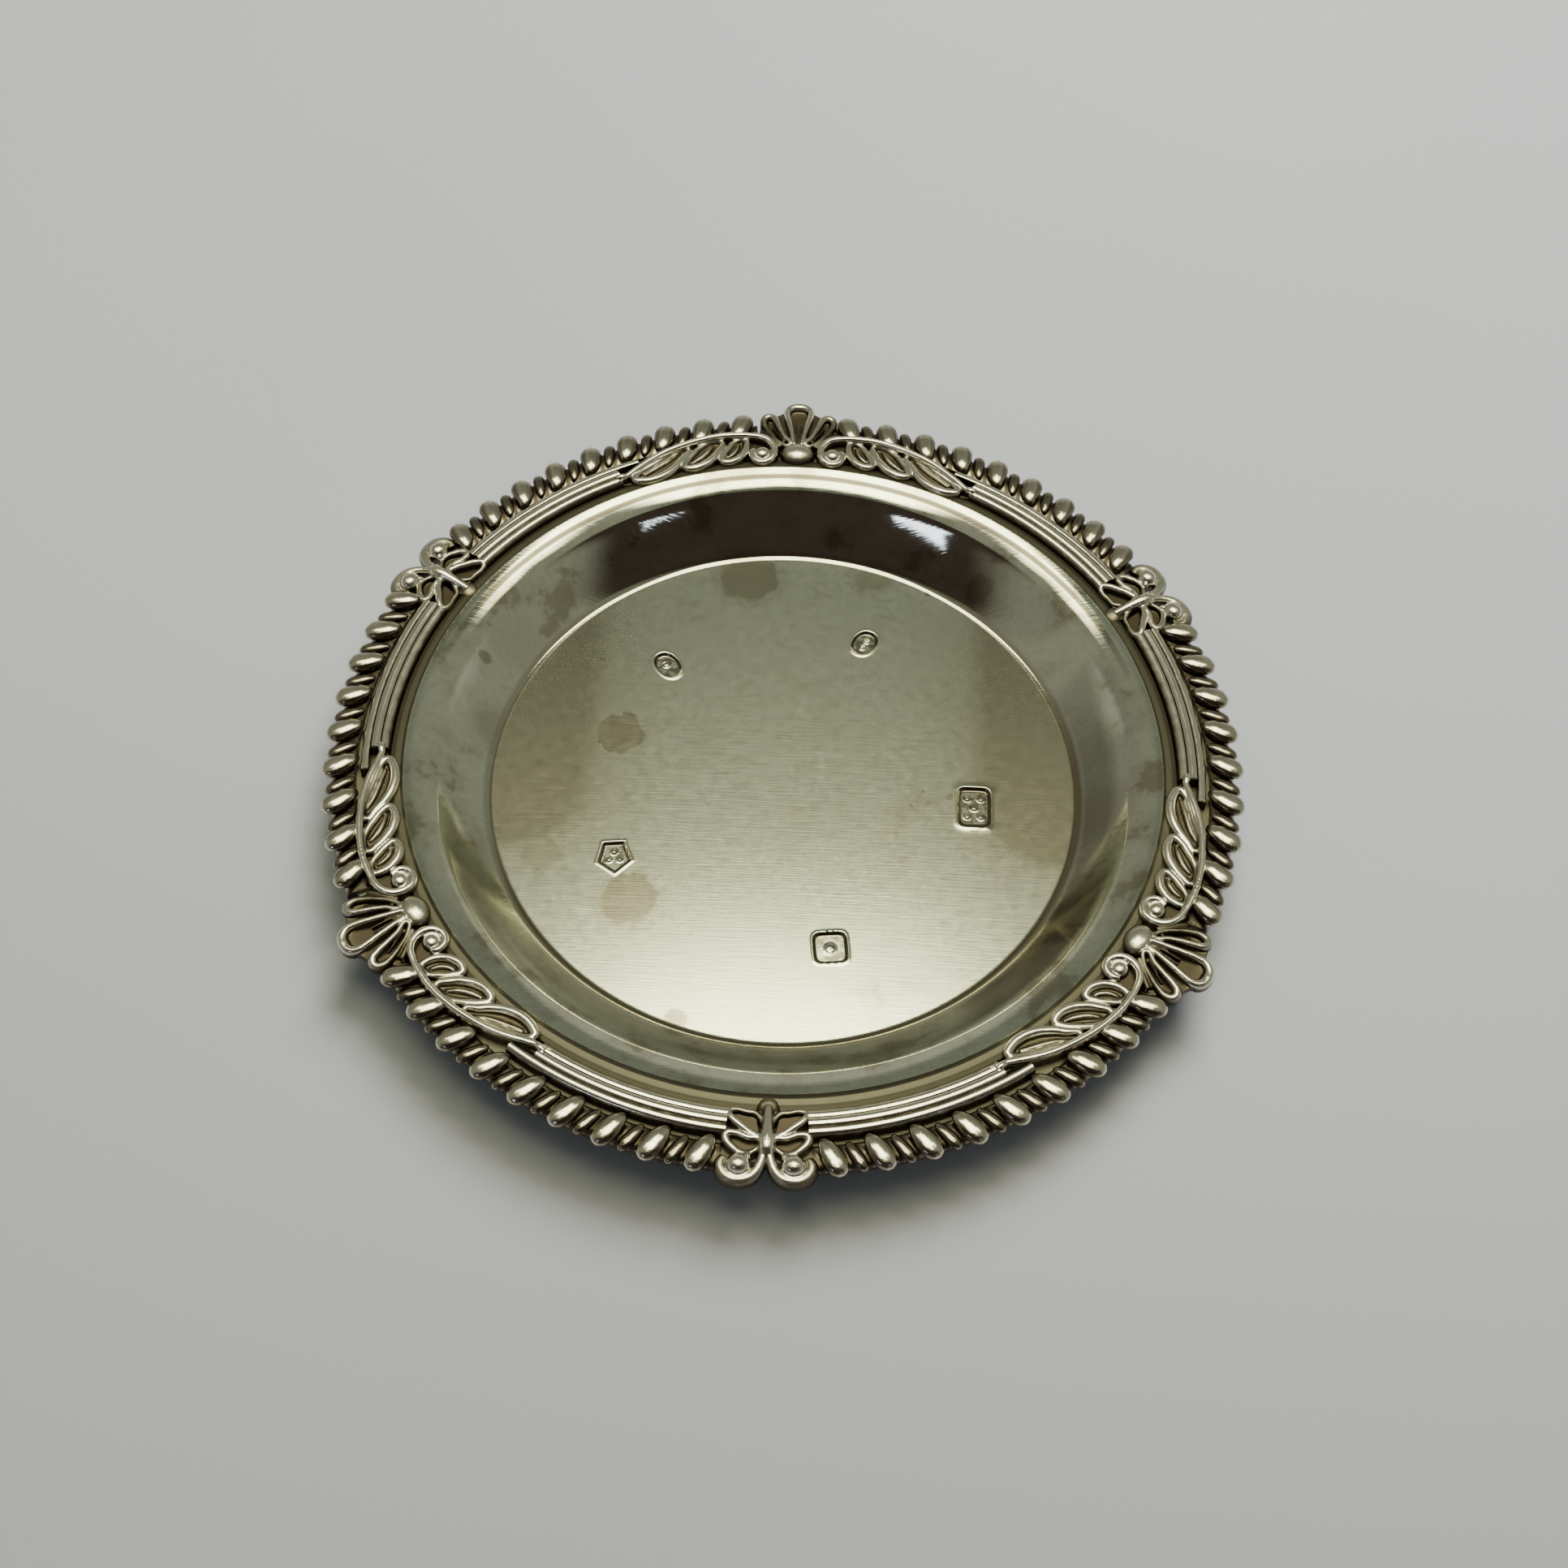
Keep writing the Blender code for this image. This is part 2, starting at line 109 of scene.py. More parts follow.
def squareUp(piece):
    # merges doubles and turns every face outwards
    editAll(piece)
    bpy.ops.mesh.remove_doubles(threshold=0.002 * mm)
    bpy.ops.mesh.normals_make_consistent(inside=False)
    backToObject()
    return piece


def joined(name, pieces):
    onlyThis(pieces[0])
    for piece in pieces[1:]:
        piece.select_set(True)
    if len(pieces) > 1:
        bpy.ops.object.join()
    return named(name)


def archedLine(start, end, bulge, steps):
    # points of an arc without its start; its middle stands off the chord by bulge
    start, end = Vector(start), Vector(end)
    chord = end - start
    across = Vector((-chord.y, chord.x)).normalized()
    radius = (chord.length**2 / 4 + bulge**2) / (2 * bulge)
    centre = (start + end) / 2 + across * (bulge - radius)
    half = math.copysign(math.acos((radius - bulge) / radius), bulge)
    middle = across * radius
    turns = [half - 2 * half * (k + 1) / steps for k in range(steps)]
    return [tuple(centre + Matrix.Rotation(turn, 2) @ middle) for turn in turns]


def drawLine(name, places):
    # a plane merged to one point, then drawn out point by point in the XZ plane
    pickNothing()
    bpy.ops.mesh.primitive_plane_add(size=mm)
    line = named(name)
    editAll(line)
    bpy.ops.mesh.merge(type="CENTER")
    here = Vector((0, 0, 0))
    for k, place in enumerate(places):
        there = Vector((place[0], 0, place[1])) * mm
        if k:
            bpy.ops.mesh.extrude_vertices_move(TRANSFORM_OT_translate={"value": there - here})
        else:
            bpy.ops.transform.translate(value=there)
        here = there
    backToObject()
    return line


def turnBand(name, section, start, end):
    # a closed section turned round the dish from one angle to another
    line = drawLine(name, section)
    editAll(line)
    bpy.ops.mesh.edge_face_add()
    # transform.rotate turns the other way
    bpy.ops.transform.rotate(value=-radians(start), orient_axis="Z", center_override=(0, 0, 0))
    bpy.ops.mesh.duplicate()
    steps, turn = round((end - start) * stepsPerDegree), radians(end - start)
    bpy.ops.mesh.spin(steps=steps, angle=turn, center=(0, 0, 0), axis=(0, 0, -1))
    backToObject()
    return squareUp(line)


def layWire(name, knots, closed=False, sides=4, steps=5):
    # a round wire through knots (x, y, z, half width), all in mm
    pickNothing()
    bpy.ops.curve.primitive_bezier_curve_add()
    curve = bpy.context.object.data
    curve.splines.clear()
    spline = curve.splines.new("BEZIER")
    spline.bezier_points.add(len(knots) - 1)
    for point, (x, y, z, width) in zip(spline.bezier_points, knots):
        point.co = Vector((x, y, z)) * mm
        point.radius = width
        point.handle_left_type = point.handle_right_type = "AUTO"
    spline.use_cyclic_u = closed
    curve.bevel_depth = mm
    curve.bevel_resolution = sides
    curve.resolution_u = steps
    curve.use_fill_caps = not closed
    bpy.ops.object.convert(target="MESH")
    return squareUp(named(name))


def layPad(name, outline, bottom, top):
    # a flat pad of any outline: a circle's points set out, then drawn up
    pickNothing()
    bpy.ops.mesh.primitive_circle_add(vertices=len(outline), radius=mm, fill_type="NGON")
    pad = named(name)
    for point, (x, y) in zip(pad.data.vertices, outline):
        point.co = Vector((x, y, bottom)) * mm
    editAll(pad)
    bpy.ops.mesh.extrude_region_move(TRANSFORM_OT_translate={"value": (0, 0, (top - bottom) * mm)})
    backToObject()
    return squareUp(pad)


def setBead(name, place, size, turn=0):
    pickNothing()
    bpy.ops.mesh.primitive_uv_sphere_add(segments=20, ring_count=12, radius=mm, location=Vector(place) * mm)
    bead = named(name)
    bead.scale = size
    bead.rotation_euler.z = radians(turn)
    bpy.ops.object.transform_apply(location=True, rotation=True, scale=True)
    return bead


def polarKnots(rows):
    # (angle, radius, height, half width) to (x, y, z, half width), in mm
    return [(r * cos(radians(a)), r * sin(radians(a)), z, w) for a, r, z, w in rows]


def polarBead(name, row, sign=1):
    angle, radius, height, *size = row
    return setBead(name, (*(spot(radius, sign * angle) / mm).xy, height), size, sign * angle)


def castPiece(name, pieces):
    # blends what overlaps into one cast body, and drops its underside onto the flange
    whole = joined(name, pieces)
    applyModifier(whole, "REMESH", mode="VOXEL", voxel_size=border["voxel"] * mm)
    applyModifier(whole, "SMOOTH", factor=0.5, iterations=3)
    levelPoints(whole, border["seat"], lambda place, normal: normal.z < border["underside"])
    onlyThis(whole)
    bpy.ops.object.shade_smooth()
    return whole


border = {
    "seat": 5.33,  # just above the flange, in mm
    "shells": 3,
    "firstShell": 90,
    "voxel": 0.09,
    "underside": -0.25,  # faces that look down more than this are laid flat
}

rideOn = "root"


def handOver(piece, node):
    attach(piece, rideOn)
    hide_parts(node)


def setOut(master, name, angle, node, finish, mirrored=False):
    onlyThis(master)
    bpy.ops.object.duplicate()
    piece = named(name)
    piece.scale.y = -1 if mirrored else 1
    piece.rotation_euler.z = radians(angle)
    bpy.ops.object.transform_apply(location=True, rotation=True, scale=True)
    if mirrored:
        editAll(piece)
        bpy.ops.mesh.normals_make_consistent(inside=False)
        backToObject()
    piece.data.materials.clear()
    piece.data.materials.append(finish)
    handOver(piece, node)


# the shader bench

class Level:
    # a socket, wrapped so that sums on it can be written as Python
    def __init__(self, bench, socket):
        self.bench, self.socket = bench, socket

    def __add__(self, other):
        return self.bench.sum("ADD", self, other)

    def __radd__(self, other):
        return self.bench.sum("ADD", other, self)

    def __sub__(self, other):
        return self.bench.sum("SUBTRACT", self, other)

    def __rsub__(self, other):
        return self.bench.sum("SUBTRACT", other, self)

    def __mul__(self, other):
        return self.bench.sum("MULTIPLY", self, other)

    def __rmul__(self, other):
        return self.bench.sum("MULTIPLY", other, self)

    def __truediv__(self, other):
        return self.bench.sum("DIVIDE", self, other)

    def __rtruediv__(self, other):
        return self.bench.sum("DIVIDE", other, self)

    def __pow__(self, other):
        return self.bench.sum("POWER", self, other)

    def atMost(self, other):
        return self.bench.sum("MINIMUM", self, other)

    def atLeast(self, other):
        return self.bench.sum("MAXIMUM", self, other)


class Bench:
    def __init__(self, tree):
        self.tree = tree

    def make(self, kind, settings=None, values=None, output=0):
        node = self.tree.nodes.new(kind)
        for key, value in (settings or {}).items():
            setattr(node, key, value)
        for key, value in (values or {}).items():
            if isinstance(value, Level):
                self.tree.links.new(value.socket, node.inputs[key])
            else:
                node.inputs[key].default_value = value
        return Level(self, node.outputs[output])

    def sum(self, operation, *values):
        return self.make("ShaderNodeMath", {"operation": operation}, dict(enumerate(values)))

    def rise(self, value, low, high):
        # 0 at low and 1 at high, or the other way down where low is the greater
        names = {"Value": value, "From Min": low, "From Max": high}
        return self.make("ShaderNodeMapRange", {"interpolation_type": "SMOOTHSTEP"}, names)

    def between(self, value, starts, ends):
        return self.rise(value, *starts) * (1 - self.rise(value, *ends))

    def across(self, value, limits):
        # a rise between two places given in mm
        return self.rise(value, limits[0] * mm, limits[1] * mm)

    def noise(self, point, scale, detail=3, roughness=0.5):
        names = {"Vector": point, "Scale": scale, "Detail": detail, "Roughness": roughness}
        return self.make("ShaderNodeTexNoise", {}, names)

    def patches(self, point, noise, limits, strength=1):
        # a noise that rises between the limits, from 0 to its strength
        return self.rise(self.noise(point, *noise), *limits) * strength

    def tint(self, share, plain, changed):
        return self.make("ShaderNodeMix", {"data_type": "RGBA"}, {0: share, 6: plain, 7: changed}, 2)

    def axes(self, point):
        first = self.make("ShaderNodeSeparateXYZ", {}, {0: point})
        node = first.socket.node
        return [Level(self, node.outputs[k]) for k in range(3)]

    def size(self, value):
        # how big a value is, whatever its sign
        return self.sum("ABSOLUTE", value)

    def length(self, point):
        return self.make("ShaderNodeVectorMath", {"operation": "LENGTH"}, {0: point}, 1)

    def plan(self, x, y):
        # a place seen from above
        return self.make("ShaderNodeCombineXYZ", {}, {"X": x, "Y": y})

    def degreesOf(self, opposite, beside):
        return self.sum("ARCTAN2", opposite, beside) * (180 / math.pi)


def colour(red, green, blue):
    return (red, green, blue, 1)


def newMaterial(name):
    material = bpy.data.materials.new(name)
    material.use_nodes = True
    bench = Bench(material.node_tree)
    bench.shader = material.node_tree.nodes["Principled BSDF"]
    return material, bench


def feed(bench, name, value):
    if isinstance(value, Level):
        bench.tree.links.new(value.socket, bench.shader.inputs[name])
    else:
        bench.shader.inputs[name].default_value = value


def placesOn(bench):
    # a place on the piece, with its x, y, height and radius
    point = bench.make("ShaderNodeTexCoord", output="Object")
    x, y, height = bench.axes(point)
    return point, x, y, height, bench.length(bench.plan(x, y))


def feedSilver(bench, tone, rough):
    feed(bench, "Base Color", tone)
    feed(bench, "Metallic", 1)
    feed(bench, "Roughness", rough)


def roughen(bench, strength, distance, height):
    # fine relief, its distance in mm
    names = {"Strength": strength, "Distance": distance * mm, "Height": height}
    feed(bench, "Normal", bench.make("ShaderNodeBump", {}, names))


silver = {
    "clean": colour(0.775, 0.795, 0.675),
    "mount": colour(0.78, 0.745, 0.65),
    "warm": colour(0.69, 0.65, 0.545),
    "ledge": colour(0.15, 0.14, 0.11),
    "olive": colour(0.27, 0.23, 0.18),
    "hollow": colour(0.15, 0.13, 0.105),
    "tan": colour(0.43, 0.395, 0.31),
    "stain": colour(0.3, 0.255, 0.175),
    "brown": colour(0.15, 0.13, 0.095),
    "deep": colour(0.068, 0.056, 0.043),
}


# how cast silver wears; a noise is its scale, detail and roughness, and lengths are in mm
castWear = {
    "uneven": (900, 4, 0.6),
    "mottle": ((260, 5, 0.65), (0.46, 0.72), 0.6),
    "grain": (5200, 3, 0.6),
    "wander": 0.35,  # how far unevenness moves the edges of the tones
    "fallFrom": 43.5,  # the radius past which the relief falls
    "grooves": (-0.25, 0.3),  # about the height where the grooves begin
    "sideRoughness": 0.22,
    "unevenRoughness": 0.12,
    "relief": (0.22, 0.06),
    "reliefShares": (0.5, 0.8),  # of the grain and of the unevenness
}


def mountFinish(name, deepBelow, brightAbove, rough, fall=0, tones=("brown", "deep")):
    # bright tops, brown sides and nearly black grooves; fall is how fast the relief falls outwards
    material, bench = newMaterial(name)
    wear = castWear
    point, *_, height, radius = placesOn(bench)
    uneven = bench.noise(point, *wear["uneven"])
    past = (radius - wear["fallFrom"] * mm).atLeast(0)
    reach = height + (uneven - 0.5) * (wear["wander"] * mm) + past * fall
    bright = bench.across(reach, (deepBelow, brightAbove))
    notDeep = bench.across(reach, [deepBelow + shift for shift in wear["grooves"]])
    polished = bench.tint(bench.patches(point, *wear["mottle"]), silver["mount"], silver["warm"])
    worn = bench.tint(bright, silver[tones[0]], polished)
    duller = (1 - bright) * wear["sideRoughness"] + (uneven - 0.5) * wear["unevenRoughness"]
    feedSilver(bench, bench.tint(notDeep, silver[tones[1]], worn), rough + duller)
    fine, coarse = wear["reliefShares"]
    roughen(bench, *wear["relief"], bench.noise(point, *wear["grain"]) * fine + uneven * coarse)
    return material


# camera, light and table

cameraFit = {
    "focalPixels": 2932.9,
    "imagePixels": 1932,
    "sensor": 36,
    "place": (1.828, -138.141, 205.569),
    "right": (0.9992, 0.03656, 0.01615),
    "up": (-0.03933, 0.82788, 0.55952),
    "back": (0.00708, -0.55971, 0.82866),
}


def hang(name, made):
    thing = bpy.data.objects.new(name, made)
    bpy.context.scene.collection.objects.link(thing)
    return thing


def placeCamera():
    fit = cameraFit
    made = bpy.data.cameras.new("photoCamera")
    made.sensor_width = fit["sensor"]
    made.lens = fit["focalPixels"] / fit["imagePixels"] * fit["sensor"]
    made.clip_start, made.clip_end = 0.01, 20.0
    camera = hang("photoCamera", made)
    turn = Matrix((fit["right"], fit["up"], fit["back"])).transposed()
    camera.matrix_world = Matrix.Translation(Vector(fit["place"]) * mm) @ turn.to_4x4()
    bpy.context.scene.camera = camera


tableLook = {
    "size": 2.4,
    "paper": colour(0.47, 0.505, 0.515),
    "rose": colour(0.53, 0.525, 0.525),
    # painted shade: the paper's tones for its near side and for its left
    "shadedNear": colour(0.37, 0.38, 0.388),
    "shadedLeft": colour(0.42, 0.435, 0.44),
    "shadedLeftShare": 0.6,
    "clouds": ((5, 2, 0.5), (0.35, 0.7)),
    "darkens": (30, -110),  # from the middle towards the left and the near side, in mm
    "roughness": 0.75,
    "gloss": 0.02,
    "grain": 900,
    "relief": (0.05, 0.2),
}


def layTable():
    look = tableLook
    pickNothing()
    bpy.ops.mesh.primitive_plane_add(size=look["size"], location=(0, 0, 0))
    table = bpy.context.object
    table.name = "tableTop"
    material, bench = newMaterial("tablePaper")
    point, x, y, *_ = placesOn(bench)
    paper = bench.tint(bench.patches(point, *look["clouds"]), look["paper"], look["rose"])
    # painted shade: the paper darkens towards the left and towards the near side
    shadedLeft = bench.across(x, look["darkens"]) * look["shadedLeftShare"]
    paper = bench.tint(shadedLeft, paper, look["shadedLeft"])
    paper = bench.tint(bench.across(y, look["darkens"]), paper, look["shadedNear"])
    feed(bench, "Base Color", paper)
    feed(bench, "Roughness", look["roughness"])
    feed(bench, "Specular IOR Level", look["gloss"])
    roughen(bench, *look["relief"], bench.noise(point, look["grain"]))
    table.data.materials.append(material)


# the room that the silver mirrors, in soft patches. Each lies by its arc (0 at the far horizon, 90
# overhead and 180 at the near horizon) and by the x, or how far aside, and the z of its way
room = {
    "low": colour(0.185, 0.2, 0.155),
    "sides": colour(0.26, 0.27, 0.205),
    "sideWays": (0.2, 0.45),
    "left": colour(0.225, 0.225, 0.175),
    "leftWays": (-0.2, -0.7),
    "horizon": colour(0.42, 0.42, 0.33),
    "horizonArc": (26, 20),
    "horizonEnds": (0.3, 0.7),
    "beside": colour(0.46, 0.47, 0.37),
    "besideWays": (0.86, 0.95),
    "besideTop": (0.2, 0.36),
    "dark": colour(0.045, 0.034, 0.027),
    "darkArc": ((104, 114), (154, 164)),
    "darkEnds": (0.66, 0.84),
    "ceiling": colour(8.4, 8.25, 5.2),
    "ceilingSides": colour(0.27, 0.275, 0.21),
    "ceilingEdge": 64.3,  # where the bright ceiling begins, straight ahead
    "ceilingCurve": (0.08, 45, 7),  # from how far aside that edge lifts, how fast and how much
    "ceilingSoft": (-5, 2.5),
    "ceilingSharper": ((0.03, 0.1), 3),  # the edge is sharper past the middle
    "ceilingBack": (95, 103),
    "ceilingCorners": (((0.2, 0.29), (78, 86)), ((0.34, 0.46), (74, 80))),
    "ceilingEnds": (0.42, 0.54),
    # x and z of the way each lies, and its half width and height
    "windows": ((-0.5, 0.57, 0.1, 0.03), (0.51, 0.567, 0.08, 0.006)),
    "windowEdge": (0.85, 1),
    "windowArc": (95, 100),
    "daylight": colour(3.4, 3.7, 4.6),
    "backdrop": colour(0.62, 0.63, 0.66),
    "bounce": colour(0.195, 0.208, 0.217),
}


def roomWalls(bench, x, z, arc, aside):
    # grey walls, brighter near the horizon, dimmer to the left
    wall = bench.tint(bench.rise(aside, *room["sideWays"]), room["low"], room["sides"])
    wall = bench.tint(bench.rise(x, *room["leftWays"]), wall, room["left"])
    horizon = bench.rise(arc, *room["horizonArc"]) * (1 - bench.rise(aside, *room["horizonEnds"]))
    wall = bench.tint(horizon, wall, room["horizon"])
    beside = bench.rise(aside, *room["besideWays"]) * (1 - bench.rise(z, *room["besideTop"]))
    return bench.tint(beside, wall, room["beside"])


def roomCeiling(bench, arc, aside, wall):
    first, steepness, most = room["ceilingCurve"]
    start = ((aside - first).atLeast(0) * steepness).atMost(most) + room["ceilingEdge"]
    soft, full = room["ceilingSoft"]
    sharpens, sharper = room["ceilingSharper"]
    over = bench.rise(arc - start, bench.rise(aside, *sharpens) * sharper + soft, full)
    over = over * (1 - bench.rise(arc, *room["ceilingBack"]))
    dim = bench.rise(aside, *room["ceilingEnds"])
    for ways, arcs in room["ceilingCorners"]:
        dim = dim.atLeast(bench.rise(aside, *ways) * bench.rise(arc, *arcs))
    return bench.tint(over, wall, bench.tint(dim, room["ceiling"], room["ceilingSides"]))


def lightRoom():
    world = bpy.data.worlds.new("softStudio")
    bpy.context.scene.world = world
    world.use_nodes = True
    tree = world.node_tree
    bench = Bench(tree)
    x, y, z = bench.axes(bench.make("ShaderNodeTexCoord", output="Generated"))
    arc = bench.degreesOf(z, y)
    aside = bench.size(x)
    sky = roomCeiling(bench, arc, aside, roomWalls(bench, x, z, arc, aside))
    dark = bench.between(arc, *room["darkArc"]) * (1 - bench.rise(aside, *room["darkEnds"]))
    sky = bench.tint(dark, sky, room["dark"])
    for wx, wz, wide, tall in room["windows"]:
        out = (bench.size(x - wx) / wide).atLeast(bench.size(z - wz) / tall)
        pane = (1 - bench.rise(out, *room["windowEdge"])) * bench.rise(arc, *room["windowArc"])
        sky = bench.tint(pane, sky, room["daylight"])
    background = tree.nodes["Background"]
    tree.links.new(sky.socket, background.inputs["Color"])
    mirrored = Level(bench, background.outputs[0])
    matte = bench.make("ShaderNodeBackground", {}, {"Color": room["bounce"]})
    plain = bench.make("ShaderNodeBackground", {}, {"Color": room["backdrop"]})
    onTable = bench.make("ShaderNodeLightPath", output="Is Diffuse Ray")
    seen = bench.make("ShaderNodeLightPath", output="Is Camera Ray")
    both = bench.make("ShaderNodeMixShader", {}, {0: onTable, 1: mirrored, 2: matte})
    both = bench.make("ShaderNodeMixShader", {}, {0: seen, 1: both, 2: plain})
    tree.links.new(both.socket, tree.nodes["World Output"].inputs["Surface"])


softbox = {"place": (0.15, 0.42, 0.55), "size": 0.4, "power": 7.9, "colour": (1, 0.97, 0.93)}


def hangSoftbox():
    made = bpy.data.lights.new("softbox", "AREA")
    made.size = softbox["size"]
    made.energy = softbox["power"]
    made.color = softbox["colour"]
    light = hang("softbox", made)
    light.visible_glossy = False
    light.location = softbox["place"]
    light.rotation_euler = (-Vector(softbox["place"])).to_track_quat("-Z", "Y").to_euler()


placeCamera()
layTable()
lightRoom()
hangSoftbox()
print("camera, table and light are set")


# the pressed dish

dishShape = {
    "steps": 288,
    "floorRadius": 30.1,
    "floorHeight": 0.8,
    "crown": 0.34,  # how far the floor stands up inside its edge
    "crownPower": 3,
    "floorRings": (3, 6, 9, 12, 14.4, 16.2),
    "fineRings": (16.8, 23.4, 0.6),  # from, to and step, where the punch marks lie
    "outerRings": (24.2, 25.4, 26.6, 27.6, 28.4, 29, 29.5, 29.9),
    # each arc's end, how far it stands off its chord, and its steps
    "crease": ((30.6, 0.94), -0.02, 5),
    "wall": ((35.5, 5.44), -0.14, 12),
    "lip": ((35.7, 5.62), (35.88, 5.765), (35.94, 5.805), (36.1, 5.893), (36.25, 5.972), (36.4, 6.045),
            (36.6, 6.133), (36.85, 6.238), (37.08, 6.333), (37.3, 6.415), (37.5, 6.488), (37.7, 6.558),
            (37.9, 6.624), (38.1, 6.683), (38.3, 6.73), (38.46, 6.758), (38.54, 6.765), (38.8, 6.48),
            (38.93, 6.42), (39.42, 6.385), (39.52, 6.33), (39.7, 6.25), (39.94, 6.14), (39.98, 5.9),
            (39.99, 5.3)),
    "flangeEnd": (44.8, 5.3),
    "under": ((44.8, 4.5), (40, 4.5), (39.4, 4.7), (38.8, 5.3), (38.2, 5.6), (37.5, 5.5), (36.9, 5.3)),
    "underWallTop": (36.2, 4.9),
    "underWall": ((30.9, 0.3), 0.14, 6),
    "underFloor": ((30.4, 0.04), (29.8, 0), (0, 0)),
    "sharpAngle": 50,
}

# blank maker's punches: middle, half sizes, turn, outline and pellets, in mm
punches = (
    {"at": (-12.92, 14.8), "half": (1.2, 1.7), "turn": 38, "power": 2.2, "pellets": ((0, 0.3, 0.55),)},
    {"at": (8.09, 18.79), "half": (1.25, 1.6), "turn": -30, "power": 2.2, "pellets": (
        (0, 0.45, 0.4), (0, -0.5, 0.4))},
    {"at": (19.78, -1.93), "half": (1.65, 2.35), "turn": 0, "power": 6, "pellets": (
        (0.7, 1.1, 0.42), (-0.7, 1.1, 0.42), (0.7, -1.1, 0.42), (-0.7, -1.1, 0.42), (0, 0, 0.5))},
    {"at": (-16.81, -9.6), "half": (1.4, 1.6), "turn": 6, "power": 0, "pellets": (
        (0, 0.6, 0.4), (0.55, -0.35, 0.35), (-0.55, -0.35, 0.35))},
    {"at": (5.38, -19.32), "half": (1.65, 1.7), "turn": 6, "power": 5, "pellets": ((0, 0, 0.75),)},
)
# a punch without a power has five sides, which face these ways
fiveWays = [(cos(radians(90 + 72 * k)), sin(radians(90 + 72 * k))) for k in range(5)]
punchShape = {
    "depth": 0.26,
    "edge": 0.16,
    "lip": 0.05,
    "lipPlace": (0.12, 0.35),  # how far out the lip is highest, and where it ends
    "pellet": 0.15,
    "pelletTop": 0.3,  # share of a pellet's reach that is flat
    "reach": 3.1,
    "cuts": 4,
}


def softStep(value, low, high):
    share = min(1, max(0, (value - low) / (high - low)))
    return share * share * (3 - 2 * share)


def punchHeight(punch, x, y):
    turn = radians(punch["turn"])
    dx, dy = x - punch["at"][0], y - punch["at"][1]
    u = dx * cos(turn) + dy * sin(turn)
    v = -dx * sin(turn) + dy * cos(turn)
    power = punch["power"]
    across, along = punch["half"]
    if power:
        size = (abs(u / across) ** power + abs(v / along) ** power) ** (1 / power)
    else:
        size = max(u / across * way[0] + v / along * way[1] for way in fiveWays)
    off = (size - 1) * min(across, along)  # about how far outside the outline, in mm
    inside = 1 - softStep(off, -punchShape["edge"], punchShape["edge"] / 2)
    crest, end = punchShape["lipPlace"]
    raised = softStep(off, 0, crest) * (1 - softStep(off, crest, end))
    height = punchShape["lip"] * raised - punchShape["depth"] * inside
    for px, py, reach in punch["pellets"]:
        swell = 1 - softStep(math.hypot(u - px, v - py), punchShape["pelletTop"] * reach, reach)
        height += punchShape["pellet"] * inside * swell
    return height


def buildDish():
    shape = dishShape
    radius, low, crown = shape["floorRadius"], shape["floorHeight"], shape["crown"]
    start, end, step = shape["fineRings"]
    fine = [start + step * k for k in range(round((end - start) / step) + 1)]
    rings = [0, *shape["floorRings"], *fine, *shape["outerRings"], radius]
    top = [(r, low + crown * (1 - (r / radius) ** shape["crownPower"])) for r in rings]
    top += archedLine(top[-1], *shape["crease"])
    top += archedLine(top[-1], *shape["wall"])
    top += [*shape["lip"], shape["flangeEnd"]]
    under = [*shape["under"], shape["underWallTop"]]
    under += archedLine(under[-1], *shape["underWall"])
    line = drawLine("pressedDish", [*top, *under, *shape["underFloor"]])
    editAll(line)
    bpy.ops.mesh.spin(steps=shape["steps"], angle=2 * math.pi, center=(0, 0, 0), axis=(0, 0, 1))
    backToObject()
    squareUp(line)
    strikePunches(line)
    return smoothBelow(line, shape["sharpAngle"])


def strikePunches(dish):
    reach = punchShape["reach"]

    def near(place, normal):
        onTop = place.z > dishShape["floorHeight"] / 2 * mm
        return onTop and any(
            math.hypot(place.x / mm - p["at"][0], place.y / mm - p["at"][1]) < reach for p in punches
        )

    pickPoints(dish, near)
    bpy.ops.mesh.select_mode(type="FACE")
    bpy.ops.mesh.subdivide(number_cuts=punchShape["cuts"])
    backToObject()
    for point in dish.data.vertices:
        if near(point.co, None):
            x, y = point.co.x / mm, point.co.y / mm
            point.co.z += sum(punchHeight(punch, x, y) for punch in punches) * mm


# brown marks on the sheet: middle, half width in mm and strength
stains = (
    (-17.28, 5.53, 3, 1), (-14.9, -14.6, 3.6, 0.65), (-4.9, 27.3, 4.4, 0.6),
    (-9.5, -28, 1.3, 1), (14.92, 26.07, 0.4, 1), (17.27, -0.84, 0.5, 1),
    (14.5, -0.3, 0.3, 0.8), (-32, 12.5, 0.8, 0.9), (-29, 16, 4, 0.3),
    (-30.4, 5.4, 3.4, 0.4), (-24.2, -9.5, 3, 0.4), (31.4, -3, 4.5, 0.35),
    (20.2, 25.6, 2.2, 0.5), (9, 28.2, 3, 0.4),
)

# where dirt sits in a punch, by shares of the way out to its outline
punchDirt = {
    "edge": ((0.76, 0.88), (1, 1.1)),
    "inside": (0.8, 0.9),
    "flecks": (0.44, 0.58),
    "insideStrength": 0.75,
}

